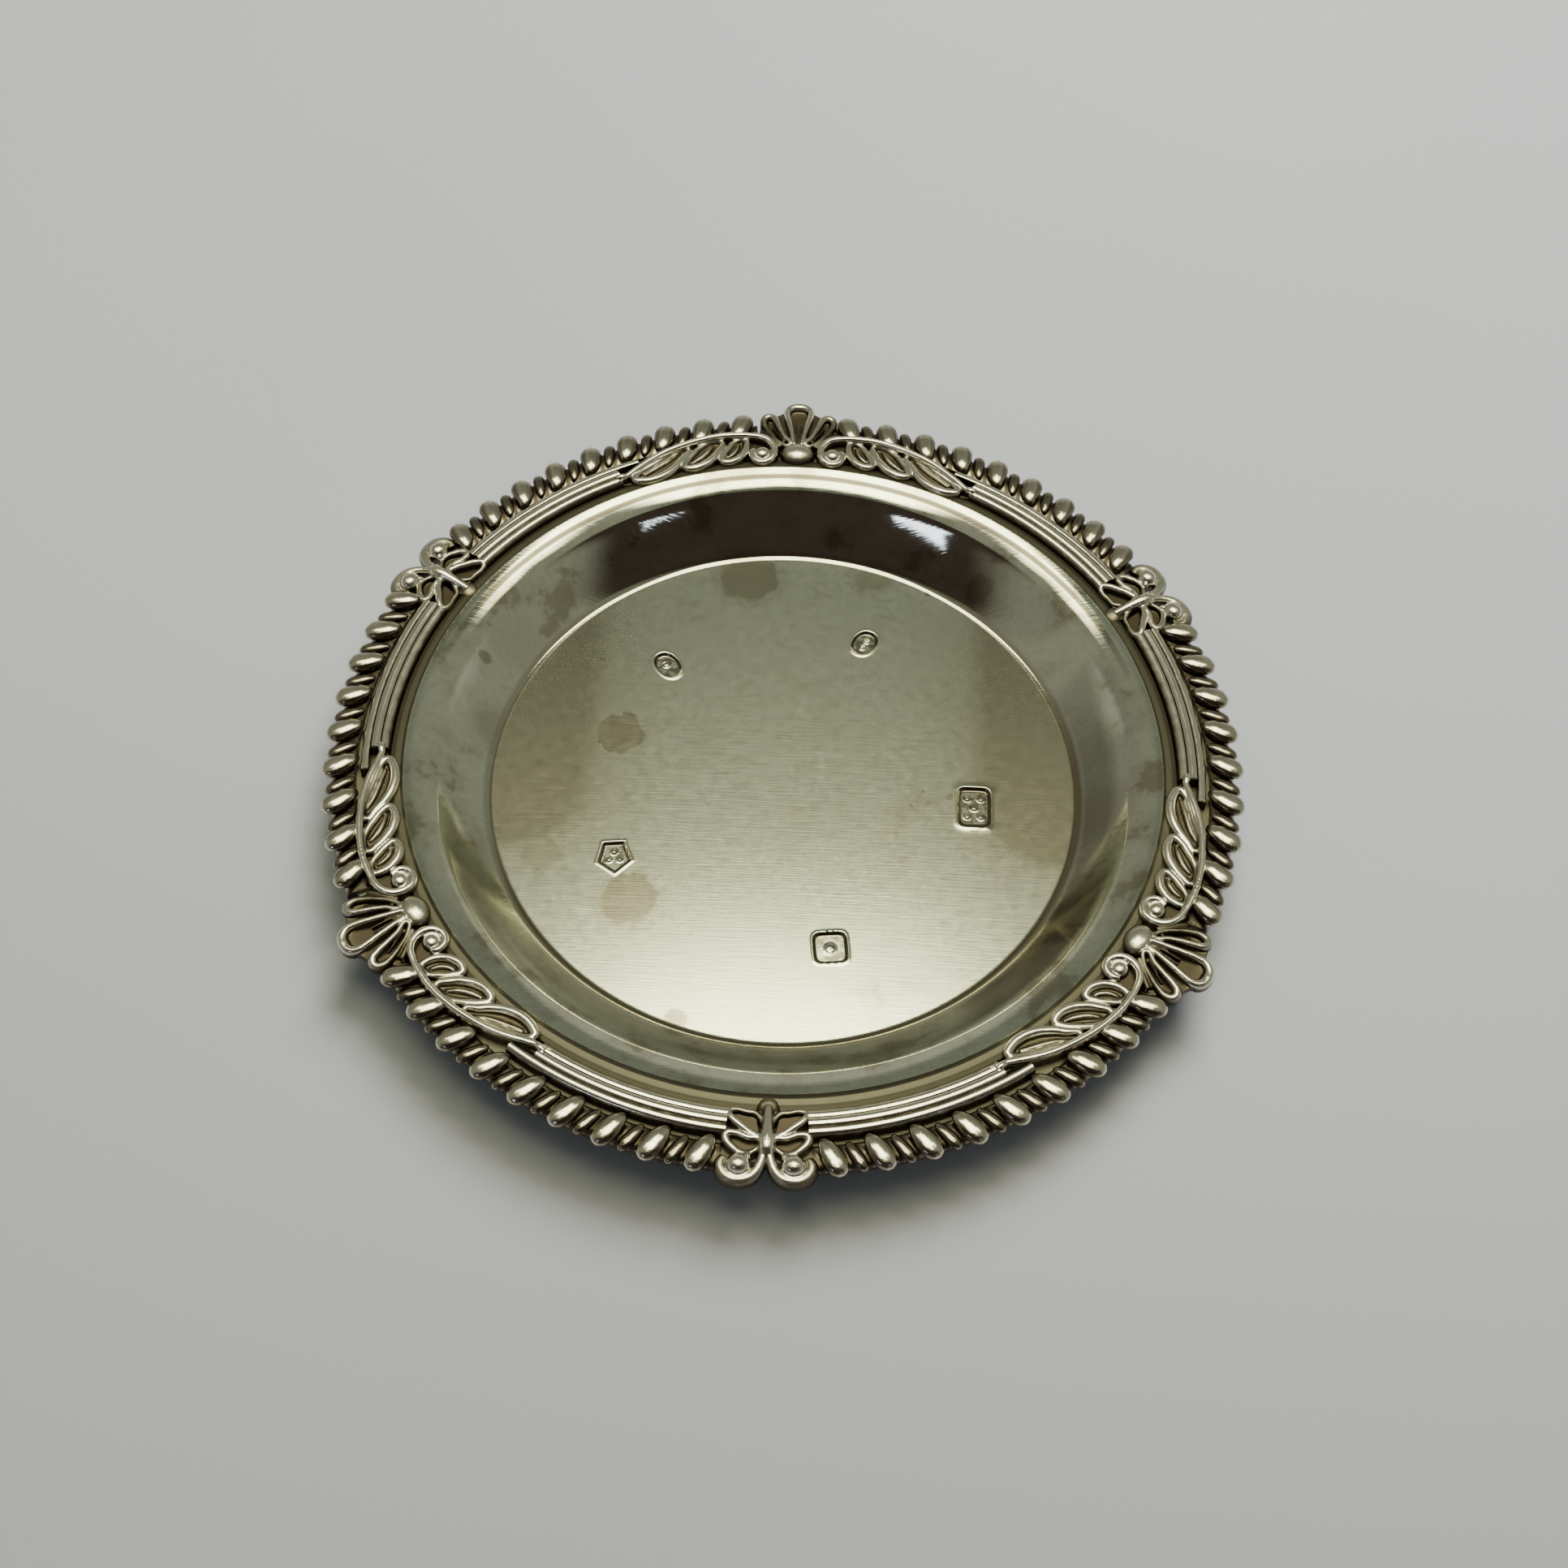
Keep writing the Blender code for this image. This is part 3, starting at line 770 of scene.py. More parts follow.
# how the sheet wears; a noise is its scale, detail and roughness, and places are in mm
dishWear = {
    "cloud": (110, 5, 0.62),
    "fleck": (900, 4, 0.65),
    "wander": (3.4, 1.8),  # how far clouds and flecks move the stains' edges
    "clouded": (0.52, 0.76),
    "cloudStrength": 0.5,
    "stainShares": (0.45, 1.2),  # of a stain's half width, where it is full and where it ends
    "wall": (30, 32),
    "wallClouds": ((170, 5, 0.6), (0.42, 0.7), 0.6),
    # painted shade low on the near wall and on its flanks
    "wallFoot": (30.6, 31.5),
    "lowWallTop": (33.2, 34.8),
    "lowWallTones": (0.5, 0.5),  # the middle tone, and how far clouds vary it
    "nearSide": (-9, 6),
    "nearSlant": 0.35,
    "flankRight": (12, 22),
    "flankLeft": (-18, -30),
    "flankLeftStrength": 0.6,
    "flankFar": (-15, -4),
    "flankTop": (34.4, 35.5),
    "flankTones": (0.9, 0.8),
    # painted reflection: a dark band along the lip, on the far side only
    "darkLipLine": 37.42,
    "darkLipWidth": (0.16, 0.4),
    "darkLipFrom": (8, 24),
    "darkLipStrength": 0.93,
    # painted shade on the floor's left and right, away from the near side
    "floorShadeSides": (10, 30),
    "floorShadeFrom": (-16, -2),
    "floorShadeStrength": 0.8,
    "floorEdge": (30.1, 30.6),
    "ledge": (38.5, 38.58),
    # painted shade: a dark line along the floor's crease, darker on the near side
    "creaseLine": 30.5,
    "creaseWidth": (0.2, 0.7),
    "creaseTones": (0.45, 0.5),  # on the far side, and what the near side adds
    "specks": ((1500, 4, 0.7), (0.4, 0.72), 0.36),
    "speckColour": colour(0.56, 0.55, 0.46),
    "rimSharpness": 3,
    "rimFrom": (0.3, 0.5),
    "rimStrength": 0.4,
    "roughness": {"polish": 0.05, "ledge": 0.45, "floor": 0.12, "stain": 0.02, "fleck": 0.08},
    "floorRough": (29.8, 30.6),
    "scratchNoise": (2, 0.6),
    "scratches": ((33, 24, 260, 1), (-18, 30, 200, 0.7)),  # turn, stretch, scale and share
    "grain": (3600, 4, 0.7),
    "grainShare": 0.15,
    "relief": (0.11, 0.03),
}


def punchedLines(bench, x, y, fleck):
    # dirt along the edges of the punches and in their hollows
    dirt = None
    flecks = bench.rise(fleck, *punchDirt["flecks"]) * punchDirt["insideStrength"]
    for punch in punches:
        turn = radians(punch["turn"])
        dx, dy = x - punch["at"][0] * mm, y - punch["at"][1] * mm
        across, along = punch["half"]
        u = (dx * cos(turn) + dy * sin(turn)) / (across * mm)
        v = (dy * cos(turn) - dx * sin(turn)) / (along * mm)
        if punch["power"]:
            u, v = (bench.size(way) ** punch["power"] for way in (u, v))
            out = (u + v) ** (1 / punch["power"])
        else:
            out = v
            for way in fiveWays[1:]:
                out = out.atLeast(u * way[0] + v * way[1])
        mark = bench.between(out, *punchDirt["edge"])
        mark = mark.atLeast((1 - bench.rise(out, *punchDirt["inside"])) * flecks)
        dirt = mark if dirt is None else dirt.atLeast(mark)
    return dirt


def stainedSheet(bench, flat, cloud, fleck):
    # brown marks: faint clouds all over, and the stains at their places
    wear = dishWear
    slow, quick = wear["wander"]
    full, gone = wear["stainShares"]
    wobble = (cloud - 0.5) * (slow * mm) + (fleck - 0.5) * (quick * mm)
    marks = bench.rise(cloud, *wear["clouded"]) * wear["cloudStrength"]
    for px, py, reach, strength in stains:
        names = {0: flat, 1: (px * mm, py * mm, 0)}
        offset = bench.make("ShaderNodeVectorMath", {"operation": "SUBTRACT"}, names)
        out = bench.length(offset) + wobble * min(1, reach / 3)
        marks = marks.atLeast((1 - bench.across(out, (reach * full, reach * gone))) * strength)
    return marks


def paintedWallShade(bench, x, y, radius, cloud, nearer):
    # painted shade: a darker brown low on the near wall, and on its flanks
    wear = dishWear

    def clouded(middle, swing):
        return (cloud - 0.5) * swing + middle

    foot = bench.across(radius, wear["wallFoot"])
    lowWallShade = foot * (1 - bench.across(radius, wear["lowWallTop"])) * nearer * clouded(*wear["lowWallTones"])
    flank = bench.across(x, wear["flankRight"])
    flank = flank.atLeast(bench.across(x, wear["flankLeft"]) * wear["flankLeftStrength"])
    flank = flank * (1 - bench.across(y, wear["flankFar"])) * foot
    flank = flank * (1 - bench.across(radius, wear["flankTop"]))
    return lowWallShade.atLeast(flank * clouded(*wear["flankTones"]))


def scratches(bench, point, turn, stretch, scale):
    names = {"Vector": point, "Rotation": (0, 0, radians(turn)), "Scale": (1, stretch, 1)}
    turned = bench.make("ShaderNodeMapping", {}, names)
    return bench.noise(turned, scale, *dishWear["scratchNoise"])


def dishFinish():
    material, bench = newMaterial("dishSilver")
    wear = dishWear
    point, x, y, _, radius = placesOn(bench)
    cloud = bench.noise(point, *wear["cloud"])
    fleck = bench.noise(point, *wear["fleck"])
    wallStain = bench.patches(point, *wear["wallClouds"]) * bench.across(radius, wear["wall"])
    nearer = 1 - bench.across(y - x * wear["nearSlant"], wear["nearSide"])
    # painted reflection: a dark band inside the far lip's bright reflection
    worn = 1 - bench.across(bench.size(radius - wear["darkLipLine"] * mm), wear["darkLipWidth"])
    worn = worn * bench.across(y, wear["darkLipFrom"]) * wear["darkLipStrength"]
    # painted shade: the floor is darker towards its left and right, except on the near side
    floorSideShade = bench.across(bench.size(x), wear["floorShadeSides"]) * bench.across(y, wear["floorShadeFrom"])
    floorSideShade = floorSideShade * (1 - bench.across(radius, wear["floorEdge"])) * wear["floorShadeStrength"]
    ledge = bench.across(radius, wear["ledge"])
    # painted shade: a dark line along the crease, stronger on the near side
    crease = 1 - bench.across(bench.size(radius - wear["creaseLine"] * mm), wear["creaseWidth"])
    far, added = wear["creaseTones"]
    crease = crease * (nearer * added + far)
    # brown holds the real stains and the wall's clouds, with the painted shade on the floor's sides
    brown = stainedSheet(bench, bench.plan(x, y), cloud, fleck).atLeast(wallStain).atLeast(floorSideShade)
    rim = (brown * (1 - brown) * 4) ** wear["rimSharpness"] * bench.rise(brown, *wear["rimFrom"])
    base = bench.tint(bench.patches(point, *wear["specks"]), silver["clean"], wear["speckColour"])
    base = bench.tint(brown, base, silver["tan"])
    # the real stains' rims and the painted shade in the crease take the stain tone
    base = bench.tint((rim * wear["rimStrength"]).atLeast(crease), base, silver["stain"])
    base = bench.tint(worn, base, silver["deep"])
    # painted shade on the lower near wall and its flanks
    base = bench.tint(paintedWallShade(bench, x, y, radius, cloud, nearer), base, silver["brown"])
    base = bench.tint(punchedLines(bench, x, y, fleck), base, silver["brown"])
    base = bench.tint(ledge, base, silver["ledge"])
    onFloor = 1 - bench.across(radius, wear["floorRough"])
    rough = wear["roughness"]
    rougher = ledge * rough["ledge"] + onFloor * rough["floor"] + brown * rough["stain"]
    feedSilver(bench, base, rough["polish"] + rougher + (fleck - 0.5) * rough["fleck"])
    relief = bench.noise(point, *wear["grain"]) * wear["grainShare"]
    for turn, stretch, scale, share in wear["scratches"]:
        relief = relief + scratches(bench, point, turn, stretch, scale) * share
    roughen(bench, *wear["relief"], relief)
    return material


dish = buildDish()
dish.data.materials.append(dishFinish())
handOver(dish, "dish_body")
print("the dish is pressed and its marks are struck")


# gadroon edges

gadroonShape = {
    "lobes": 9,
    "step": 5.584,  # degrees
    "middleAngle": 30,
    "middleRadius": 45.1,
    "rake": 25,
    "squash": 0.52,  # how flat the lobes are for their width
    # along the lobe, height of its middle, half width, in mm
    "fat": ((-2.05, 6.35, 0.3), (-1.9, 6.42, 0.52), (-1.6, 6.5, 0.7), (-1.3, 6.54, 0.83), (-0.9, 6.55, 0.98),
            (-0.4, 6.5, 1.1), (0.15, 6.4, 1.19), (0.6, 6.28, 1.18), (0.92, 6.14, 1.07), (1.15, 6, 0.88),
            (1.32, 5.88, 0.62), (1.41, 5.8, 0.34)),
    "thinMiddle": 44.98,
    "thin": ((-1.6, 6.05, 0.2), (-1.4, 6.14, 0.36), (-0.9, 6.2, 0.5), (-0.2, 6.18, 0.62), (0.5, 6.06, 0.68),
             (0.95, 5.92, 0.62), (1.2, 5.78, 0.46), (1.32, 5.66, 0.28)),
    # degrees that each length is turned from even spacing
    "turns": {"Left1": 0.5, "Right1": 0.45, "Left2": -0.15, "Right2": -1.2, "Left3": 0.8, "Right3": 0.2},
    # the ground that the lobes stand on, as (radius, height)
    "ground": ((43.4, 5.33), (43.42, 5.75), (43.6, 5.85), (44.6, 5.88), (45.2, 5.84), (45.6, 5.72),
               (45.85, 5.5), (45.95, 5.2), (45.92, 4.85), (45.75, 4.64), (44.95, 4.64), (44.93, 5.33)),
    "lowest": 4.64,
    "overFlange": 44.9,  # radius inside which the underside is level with the border's seat
    "groundReach": 2.3,  # degrees past the first and the last lobe's middle
    "sharpAngle": 55,
}


def layLobe(name, radius, angle, rows, sides):
    heart = spot(radius, angle) / mm
    along = spot(1, angle - gadroonShape["rake"]) / mm
    low, squash = border["seat"], gadroonShape["squash"]
    knots = [(*(heart + along * u).xy, low + (z - low) / squash, half) for u, z, half in rows]
    lobe = layWire(name, knots, sides=sides, steps=3)
    editAll(lobe)
    bpy.ops.transform.resize(value=(1, 1, squash), center_override=(0, 0, low * mm))
    backToObject()
    return lobe


# where the lobes are bright, where tarnish sits in the valleys and where shade is painted on their sides,
# low down and at their inner ends, in mm off a lobe's middle, in height and in radius
lobeWear = {
    "wander": 0.3,
    "valley": ((0.95, 1.3), (1.6, 1.95)),
    "low": (5.15, 5.6),
    "inner": (43.3, 43.7),
    # painted shade on the lobes' sides
    "sides": (0.35, 0.9),
    "sideStrength": 0.9,
    "mottle": ((260, 5, 0.65), (0.46, 0.7), 0.6),
    "roughness": 0.16,
    "dirtRoughness": 0.2,
    "grainShare": 0.4,
    "relief": (0.25, 0.08),
}


def offLobe(bench, x, y, radius, shift):
    # how far a place is from the middle line of its nearest raked lobe, in mm
    shape = gadroonShape
    angle = bench.degreesOf(y, x) - border["firstShell"]
    folded = bench.sum("PINGPONG", angle, 180 / border["shells"])
    slope = math.degrees(math.tan(radians(shape["rake"])) / shape["middleRadius"]) / mm
    raked = (radius - shape["middleRadius"] * mm) * slope
    turns = (folded + raked - (shape["middleAngle"] + shift)) / shape["step"] + 0.5
    return bench.size(bench.sum("FRACT", turns) - 0.5) * (radians(shape["step"]) * shape["middleRadius"])


def lobeFinish(name, shift):
    # polished lobes with tarnished black valleys between them, and painted shade on their sides, low down
    # and at their inner ends; shift turns the pattern with its length
    material, bench = newMaterial(name)
    wear = lobeWear
    point, x, y, height, radius = placesOn(bench)
    uneven = bench.noise(point, *castWear["uneven"])
    away = offLobe(bench, x, y, radius, shift) + (uneven - 0.5) * wear["wander"]
    low = 1 - bench.across(height + (uneven - 0.5) * (wear["wander"] * mm), wear["low"])
    # dirt holds tarnish in the valleys, with painted shade low down and at the lobes' inner ends
    dirt = bench.between(away, *wear["valley"]).atLeast(low).atLeast(1 - bench.across(radius, wear["inner"]))
    polished = bench.tint(bench.patches(point, *wear["mottle"]), silver["warm"], silver["tan"])
    # painted shade: the lobes' sides turn darker olive
    sides = bench.rise(away, *wear["sides"]) * wear["sideStrength"]
    polished = bench.tint(sides, polished, silver["olive"])
    duller = dirt * wear["dirtRoughness"] + (uneven - 0.5) * castWear["unevenRoughness"]
    feedSilver(bench, bench.tint(dirt, polished, silver["deep"]), wear["roughness"] + duller)
    grain = bench.noise(point, *castWear["grain"])
    roughen(bench, *wear["relief"], grain * wear["grainShare"] + uneven)
    return material


def buildGadroon():
    shape = gadroonShape
    reach = shape["step"] * (shape["lobes"] - 1) / 2
    first = shape["middleAngle"] - reach
    parts = []
    for k in range(shape["lobes"]):
        at = first + shape["step"] * k
        parts.append(layLobe(f"fatLobe{k}", shape["middleRadius"], at, shape["fat"], 4))
        if k < shape["lobes"] - 1:
            between = at + shape["step"] / 2
            parts.append(layLobe(f"thinLobe{k}", shape["thinMiddle"], between, shape["thin"], 3))
    end = reach + shape["groundReach"]
    middle = shape["middleAngle"]
    parts.append(turnBand("lobeGround", shape["ground"], middle - end, middle + end))
    whole = joined("gadroonMaster", parts)
    low, seat, inner = shape["lowest"], border["seat"], shape["overFlange"] * mm
    levelPoints(whole, low, lambda place, normal: place.z < low * mm)
    levelPoints(whole, seat, lambda place, normal: place.z < seat * mm and place.xy.length < inner)
    return smoothBelow(whole, shape["sharpAngle"])


# reed bands

reedShape = {
    # three shallow reeds over an arched band
    "radii": (40.48, 41.5, 42.52),
    "crests": (6.83, 7.02, 6.88),
    "tilts": (21, 0, -21),  # degrees
    "half": 0.42,
    "roundness": 38,  # degrees from a reed's crest to its edge
    "steps": 8,
    "groove": 0.3,
    "start": 28.2,
    "outerStart": 24.6,
    "end": 54.8,
    "footWidth": 0.04,
    "overlap": 0.02,  # of the outer reed's own stretch under the others
    "sharpAngle": 35,
}


def reedArch(radius, crest, tilt, half, roundness, steps):
    # one shallow reed, leaning with the arched band
    bend = half / sin(radians(roundness))

    def onRim(degrees):
        return bend * Vector((cos(radians(degrees)), sin(radians(degrees))))

    centre = Vector((radius, crest)) - onRim(90 + tilt)
    return [tuple(centre + onRim(90 + tilt + roundness * (1 - 2 * k / steps))) for k in range(steps + 1)]


def buildReeds():
    shape = reedShape
    low = border["seat"]
    arches = [
        reedArch(radius, crest, tilt, shape["half"], shape["roundness"], shape["steps"])
        for radius, crest, tilt in zip(shape["radii"], shape["crests"], shape["tilts"])
    ]
    foot = (arches[-1][-1][0] + shape["footWidth"], low)
    section = [(arches[0][0][0] - shape["footWidth"], low)]
    for k, arch in enumerate(arches):
        section += arch
        if k < len(arches) - 1:
            r, z = (Vector(arch[-1]) + Vector(arches[k + 1][0])) / 2
            section.append((r, z - shape["groove"]))
    section.append(foot)
    outer = [(arches[-1][0][0] - shape["overlap"], low), *arches[-1], foot]
    parts = [turnBand("reeds", section, shape["start"], shape["end"]),
             turnBand("outerReed", outer, shape["outerStart"], shape["start"])]
    return smoothBelow(joined("reedMaster", parts), shape["sharpAngle"])


# leaf sprays, modelled left of a shell that lies along +X; rows are angle, radius, height and half width

sprayShape = {
    "stem": ((28.9, 40.95, 6.68, 0.34), (28.1, 40.85, 6.76, 0.42), (27.3, 40.8, 6.74, 0.34),
             (26.2, 41.05, 6.75, 0.36), (24.7, 41.45, 6.78, 0.38), (22.2, 42.1, 6.8, 0.38),
             (20, 42.55, 6.82, 0.38), (17, 43, 6.84, 0.38), (14.3, 43.3, 6.84, 0.38),
             (11.8, 43.45, 6.84, 0.37), (9.2, 43.4, 6.82, 0.38), (7, 43.2, 6.8, 0.36),
             (4.9, 42.7, 6.78, 0.42), (3.95, 41.95, 6.74, 0.45), (3.6, 41, 6.7, 0.45),
             (3.85, 40.1, 6.68, 0.44), (4.8, 39.45, 6.66, 0.42), (5.9, 39.35, 6.64, 0.41),
             (6.85, 39.8, 6.64, 0.4), (7.15, 40.6, 6.64, 0.37), (6.7, 41.3, 6.58, 0.3)),
    "ball": (5.5, 40.7, 6.5, 0.92, 0.95, 0.66),
    "ties": (((29.6, 40.5, 6.5, 0.36), (28.8, 40.6, 6.55, 0.34), (28.1, 40.8, 6.6, 0.3)),
             ((29.6, 41.5, 6.66, 0.36), (28.8, 41.35, 6.66, 0.34), (28.1, 41, 6.6, 0.3))),
    "leaves": (
        ((8, 42.9, 6.4, 0.38), (7.8, 41.8, 6.45, 0.42), (8.5, 40.7, 6.48, 0.46), (9.8, 39.95, 6.5, 0.48),
         (11.2, 39.75, 6.5, 0.46), (12, 40.1, 6.48, 0.42), (11.6, 40.9, 6.45, 0.4),
         (10.6, 41.9, 6.4, 0.38), (9.4, 42.8, 6.36, 0.34)),
        ((11.4, 42.9, 6.4, 0.36), (12, 41.7, 6.45, 0.44), (13.4, 40.5, 6.5, 0.5),
         (15.2, 39.75, 6.52, 0.52), (16.9, 39.6, 6.52, 0.5), (18, 40, 6.5, 0.44),
         (17.5, 40.8, 6.46, 0.42), (16.2, 41.7, 6.42, 0.4), (14.6, 42.6, 6.38, 0.36),
         (12.8, 43.1, 6.36, 0.34)),
        ((16.6, 42.5, 6.4, 0.36), (17.8, 41.4, 6.46, 0.44), (19.4, 40.3, 6.5, 0.5),
         (21.4, 39.55, 6.54, 0.54), (23.6, 39.3, 6.55, 0.54), (25.3, 39.55, 6.54, 0.52),
         (26.3, 40.1, 6.52, 0.46), (25.4, 40.8, 6.48, 0.4), (23.8, 41.2, 6.45, 0.38),
         (21.8, 41.7, 6.42, 0.36), (19.6, 42.3, 6.4, 0.34)),
    ),
    "padHeights": (5.36, 6.32),
    # rows of the ground are angle and radius
    "ground": ((3.6, 41.9), (5.2, 42.9), (9, 43.3), (13, 43.3), (17, 42.9), (21, 42.2), (25, 41.3),
               (28.4, 41.5), (28.4, 40.3), (26, 39.9), (20, 40.3), (13, 40.4), (7.6, 40.4), (5.5, 39.6),
               (3.9, 40.3)),
    "groundHeights": (5.35, 6),
    "veins": (
        ((9, 42.3, 6.36, 0.2), (9.4, 41.5, 6.42, 0.25), (10.3, 40.8, 6.42, 0.25), (11.2, 40.5, 6.36, 0.2)),
        ((12.9, 42.5, 6.36, 0.2), (13.9, 41.6, 6.44, 0.27), (15.3, 40.9, 6.44, 0.27),
         (16.9, 40.4, 6.38, 0.2)),
        ((18.2, 42.3, 6.36, 0.2), (20, 41.5, 6.44, 0.25), (22.2, 40.9, 6.46, 0.25),
         (24.6, 40.35, 6.4, 0.2)),
    ),
}


def buildSpray():
    shape = sprayShape
    parts = [layWire("stem", polarKnots(shape["stem"]), steps=6)]
    parts.append(polarBead("voluteBall", shape["ball"]))
    for k, tie in enumerate(shape["ties"]):
        parts.append(layWire(f"reedTie{k}", polarKnots(tie)))
    outline = [(spot(r, a) / mm).xy for a, r in shape["ground"]]
    parts.append(layPad("sprayGround", outline, *shape["groundHeights"]))
    for k, leaf in enumerate(shape["leaves"]):
        knots = polarKnots(leaf)
        parts.append(layWire(f"leafRim{k}", knots, closed=True))
        parts.append(layPad(f"leafPad{k}", [(x, y) for x, y, z, w in knots], *shape["padHeights"]))
        parts.append(layWire(f"leafVein{k}", polarKnots(shape["veins"][k]), sides=3))
    return castPiece("sprayMaster", parts)


# shells, modelled along +X; rows are x, y, height and half width, in mm

shellShape = {
    "boss": ((40.6, 0, 6.35), (1.5, 1.9, 0.98)),
    # one side of the fan's outline
    "fan": ((41.2, 1.9), (42.2, 3.4), (43.4, 4.3), (44.5, 4.35), (45.4, 4.2), (46.3, 3.9), (46.75, 3.2),
            (46.85, 2.3), (47.2, 1.75), (47.8, 1.3), (48.25, 0.7)),
    "fanHeights": (5.36, 5.95),
    "middlePetal": ((41.7, 0.42, 6.85, 0.28), (43.2, 0.68, 6.82, 0.29), (44.8, 1, 6.68, 0.32),
                    (46.2, 1.28, 6.45, 0.36), (47.2, 1.3, 6.2, 0.42), (47.85, 0.85, 6.02, 0.52),
                    (48.05, 0, 5.95, 0.58)),
    "flankPetal": ((41.7, 0.95, 6.8, 0.26), (43.1, 1.6, 6.75, 0.28), (44.4, 2.12, 6.62, 0.31),
                   (45.5, 2.5, 6.42, 0.35), (46.25, 2.95, 6.2, 0.44), (46.3, 3.6, 6.05, 0.5),
                   (45.6, 3.95, 6.1, 0.42), (44.5, 3.65, 6.3, 0.34), (43.3, 2.95, 6.5, 0.29),
                   (42.1, 1.95, 6.65, 0.26)),
    "ribs": (((41.9, 0.16, 6.75, 0.16), (43.4, 0.22, 6.6, 0.15), (45, 0.3, 6.3, 0.12)),
             ((42.2, 1.5, 6.6, 0.14), (43.5, 2.25, 6.45, 0.14), (44.7, 2.95, 6.15, 0.11)),
             ((41.5, 1.9, 6.6, 0.26), (42.3, 2.8, 6.5, 0.3), (43.2, 3.7, 6.3, 0.36),
              (43.8, 4.2, 6.15, 0.4)),
             ((41.3, 2.3, 6.3, 0.22), (41.9, 3, 6.25, 0.25), (42.6, 3.8, 6.1, 0.28))),
}


def mirroredKnots(knots):
    return [(x, -y, z, w) for x, y, z, w in knots]


def buildShell():
    shape = shellShape
    parts = [setBead("boss", *shape["boss"])]
    outline = list(shape["fan"]) + [(x, -y) for x, y in reversed(shape["fan"])]
    parts.append(layPad("fan", outline, *shape["fanHeights"]))
    half = list(shape["middlePetal"])
    loop = half + mirroredKnots(half[-2::-1])
    parts.append(layWire("middlePetal", loop))
    for side, flip in (("Left", list), ("Right", mirroredKnots)):
        parts.append(layWire("flankPetal" + side, flip(shape["flankPetal"]), closed=True))
        for k, rib in enumerate(shape["ribs"]):
            parts.append(layWire(f"rib{side}{k}", flip(rib), sides=3))
    return castPiece("shellMaster", parts)


# bow clasps, modelled along +X; rows are angle, radius, height and half width or, for a bead, its half sizes

bowShape = {
    "knob": (0, 39.55, 6, 1.1, 1.2, 0.62),
    "tie": ((0, 39.8, 6.34, 0.45), (0, 40.9, 6.5, 0.46), (0, 42, 6.6, 0.58), (0, 43, 6.56, 0.76),
            (0, 43.9, 6.42, 0.82), (0, 44.7, 6.2, 0.6)),
    "horn": ((0.15, 43.5, 6.5, 0.45), (0.32, 44.4, 6.4, 0.47), (0.62, 45.3, 6.2, 0.5),
             (1.15, 46.1, 5.95, 0.62), (2, 46.65, 5.7, 0.78), (3.1, 46.85, 5.58, 0.85),
             (4.2, 46.7, 5.58, 0.85), (5, 46.2, 5.68, 0.75), (5.3, 45.5, 5.82, 0.62),
             (4.9, 44.8, 5.95, 0.45)),
    "ball": (3.2, 45.6, 6.35, 1, 1.15, 0.8),
    "upperLeaf": ((0.7, 42.7, 6.55, 0.32), (1.8, 42.6, 6.58, 0.34), (3.2, 41.95, 6.6, 0.36),
                  (4.6, 41.2, 6.6, 0.38), (5.2, 40.6, 6.5, 0.34), (4.3, 40.2, 6.4, 0.3),
                  (2.8, 40.3, 6.35, 0.28), (1.4, 40.5, 6.35, 0.28)),
    "lowerLeaf": ((0.8, 43.2, 6.55, 0.32), (2.4, 42.95, 6.55, 0.34), (4, 42.6, 6.5, 0.36),
                  (5.1, 42.8, 6.45, 0.42), (4.95, 43.4, 6.4, 0.44), (4.2, 43.95, 6.35, 0.38),
                  (3, 44.45, 6.3, 0.32), (1.7, 44.3, 6.3, 0.28)),
    "bead": (2.25, 44.85, 6.45, 0.36, 0.36, 0.34),
    "padHeights": (5.36, 6),
}


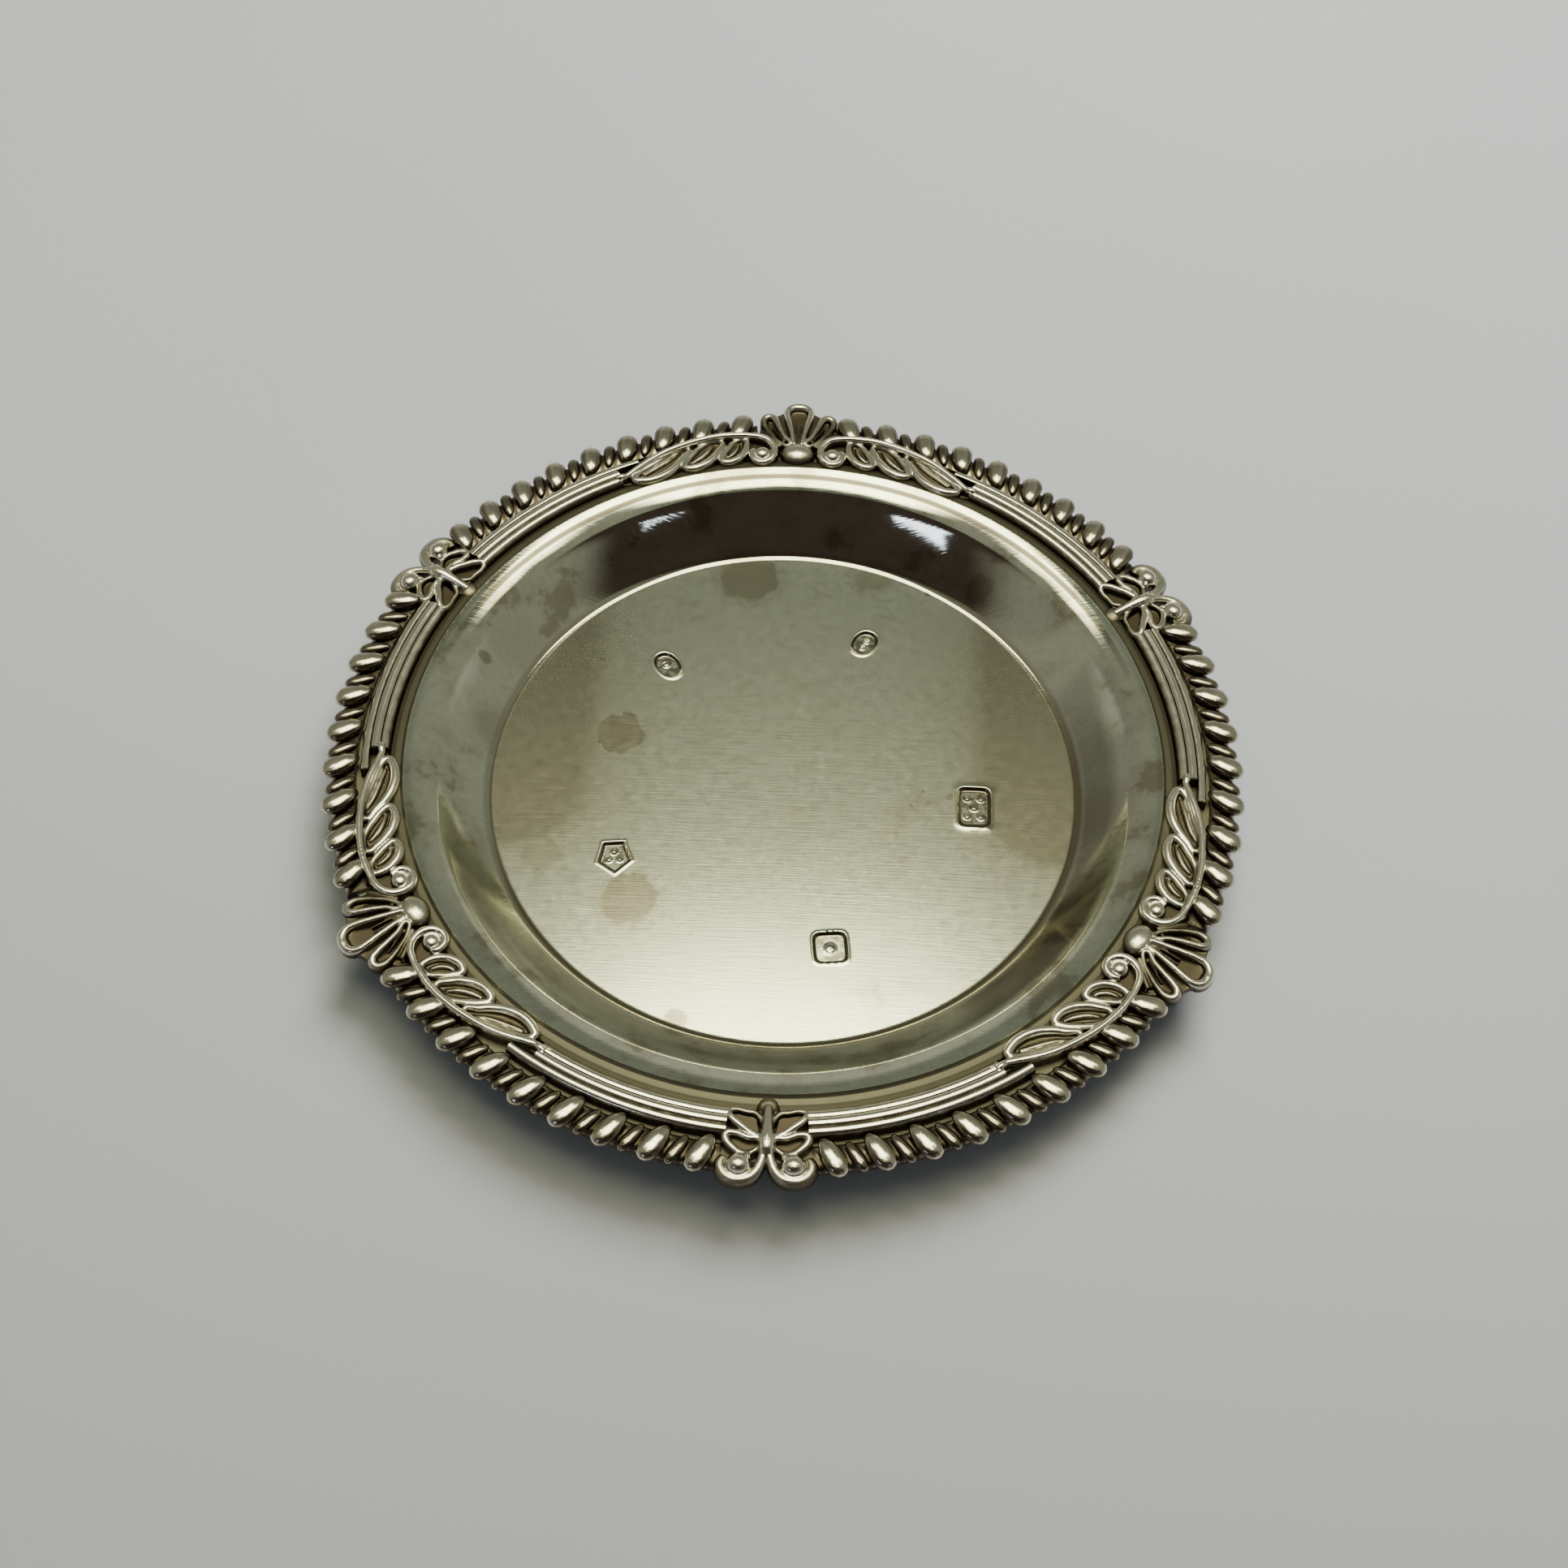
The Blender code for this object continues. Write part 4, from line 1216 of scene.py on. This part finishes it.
def buildBow():
    shape = bowShape
    parts = [polarBead("knob", shape["knob"]), layWire("tie", polarKnots(shape["tie"]))]
    for side, flip, sign in (("Left", list, 1), ("Right", mirroredKnots, -1)):
        parts.append(layWire("horn" + side, flip(polarKnots(shape["horn"])), steps=6))
        for name in ("ball", "bead"):
            parts.append(polarBead(name + side, shape[name], sign))
        for name in ("upperLeaf", "lowerLeaf"):
            knots = flip(polarKnots(shape[name]))
            parts.append(layWire(name + side, knots, closed=True))
            parts.append(layPad(f"{name}Pad{side}", [(x, y) for x, y, z, w in knots], *shape["padHeights"]))
    return castPiece("bowMaster", parts)


# the border is modelled once and set out round the dish

gadroonMaster = buildGadroon()
print("a gadroon length is modelled")
reedMaster = buildReeds()
print("a reed band is modelled")
sprayMaster = buildSpray()
print("a leaf spray is modelled")
shellMaster = buildShell()
bowMaster = buildBow()
print("a shell and a bow are modelled")

reedFinish = mountFinish("reedSilver", 6.54, 6.82, 0.16)
sprayFinish = mountFinish("spraySilver", 6.42, 6.93, 0.2)
shellFinish = mountFinish("shellSilver", 6.7, 7.35, 0.2, fall=0.2, tones=("hollow", "deep"))
bowFinish = mountFinish("bowSilver", 6.4, 7, 0.2, fall=0.12)

for k in range(border["shells"]):
    at = border["firstShell"] + 360 / border["shells"] * k
    setOut(shellMaster, f"shell{k + 1}", at, f"shell_mount_{k + 1}", shellFinish)
    setOut(bowMaster, f"bow{k + 1}", at + 180 / border["shells"], f"bow_clasp_{k + 1}", bowFinish)
    for side, mirrored in (("left", False), ("right", True)):
        label = f"{side.capitalize()}{k + 1}"
        setOut(sprayMaster, "spray" + label, at, f"leaf_spray_{side}_{k + 1}", sprayFinish, mirrored)
        setOut(reedMaster, "reeds" + label, at, f"reed_band_{side}_{k + 1}", reedFinish, mirrored)
        turn = gadroonShape["turns"][label]
        lobes = lobeFinish("gadroonSilver" + label, -turn if mirrored else turn)
        setOut(gadroonMaster, "gadroon" + label, at + turn, f"gadroon_edge_{side}_{k + 1}", lobes, mirrored)
for master in (gadroonMaster, reedMaster, sprayMaster, shellMaster, bowMaster):
    bpy.data.objects.remove(master, do_unlink=True)
print("the border is set out")
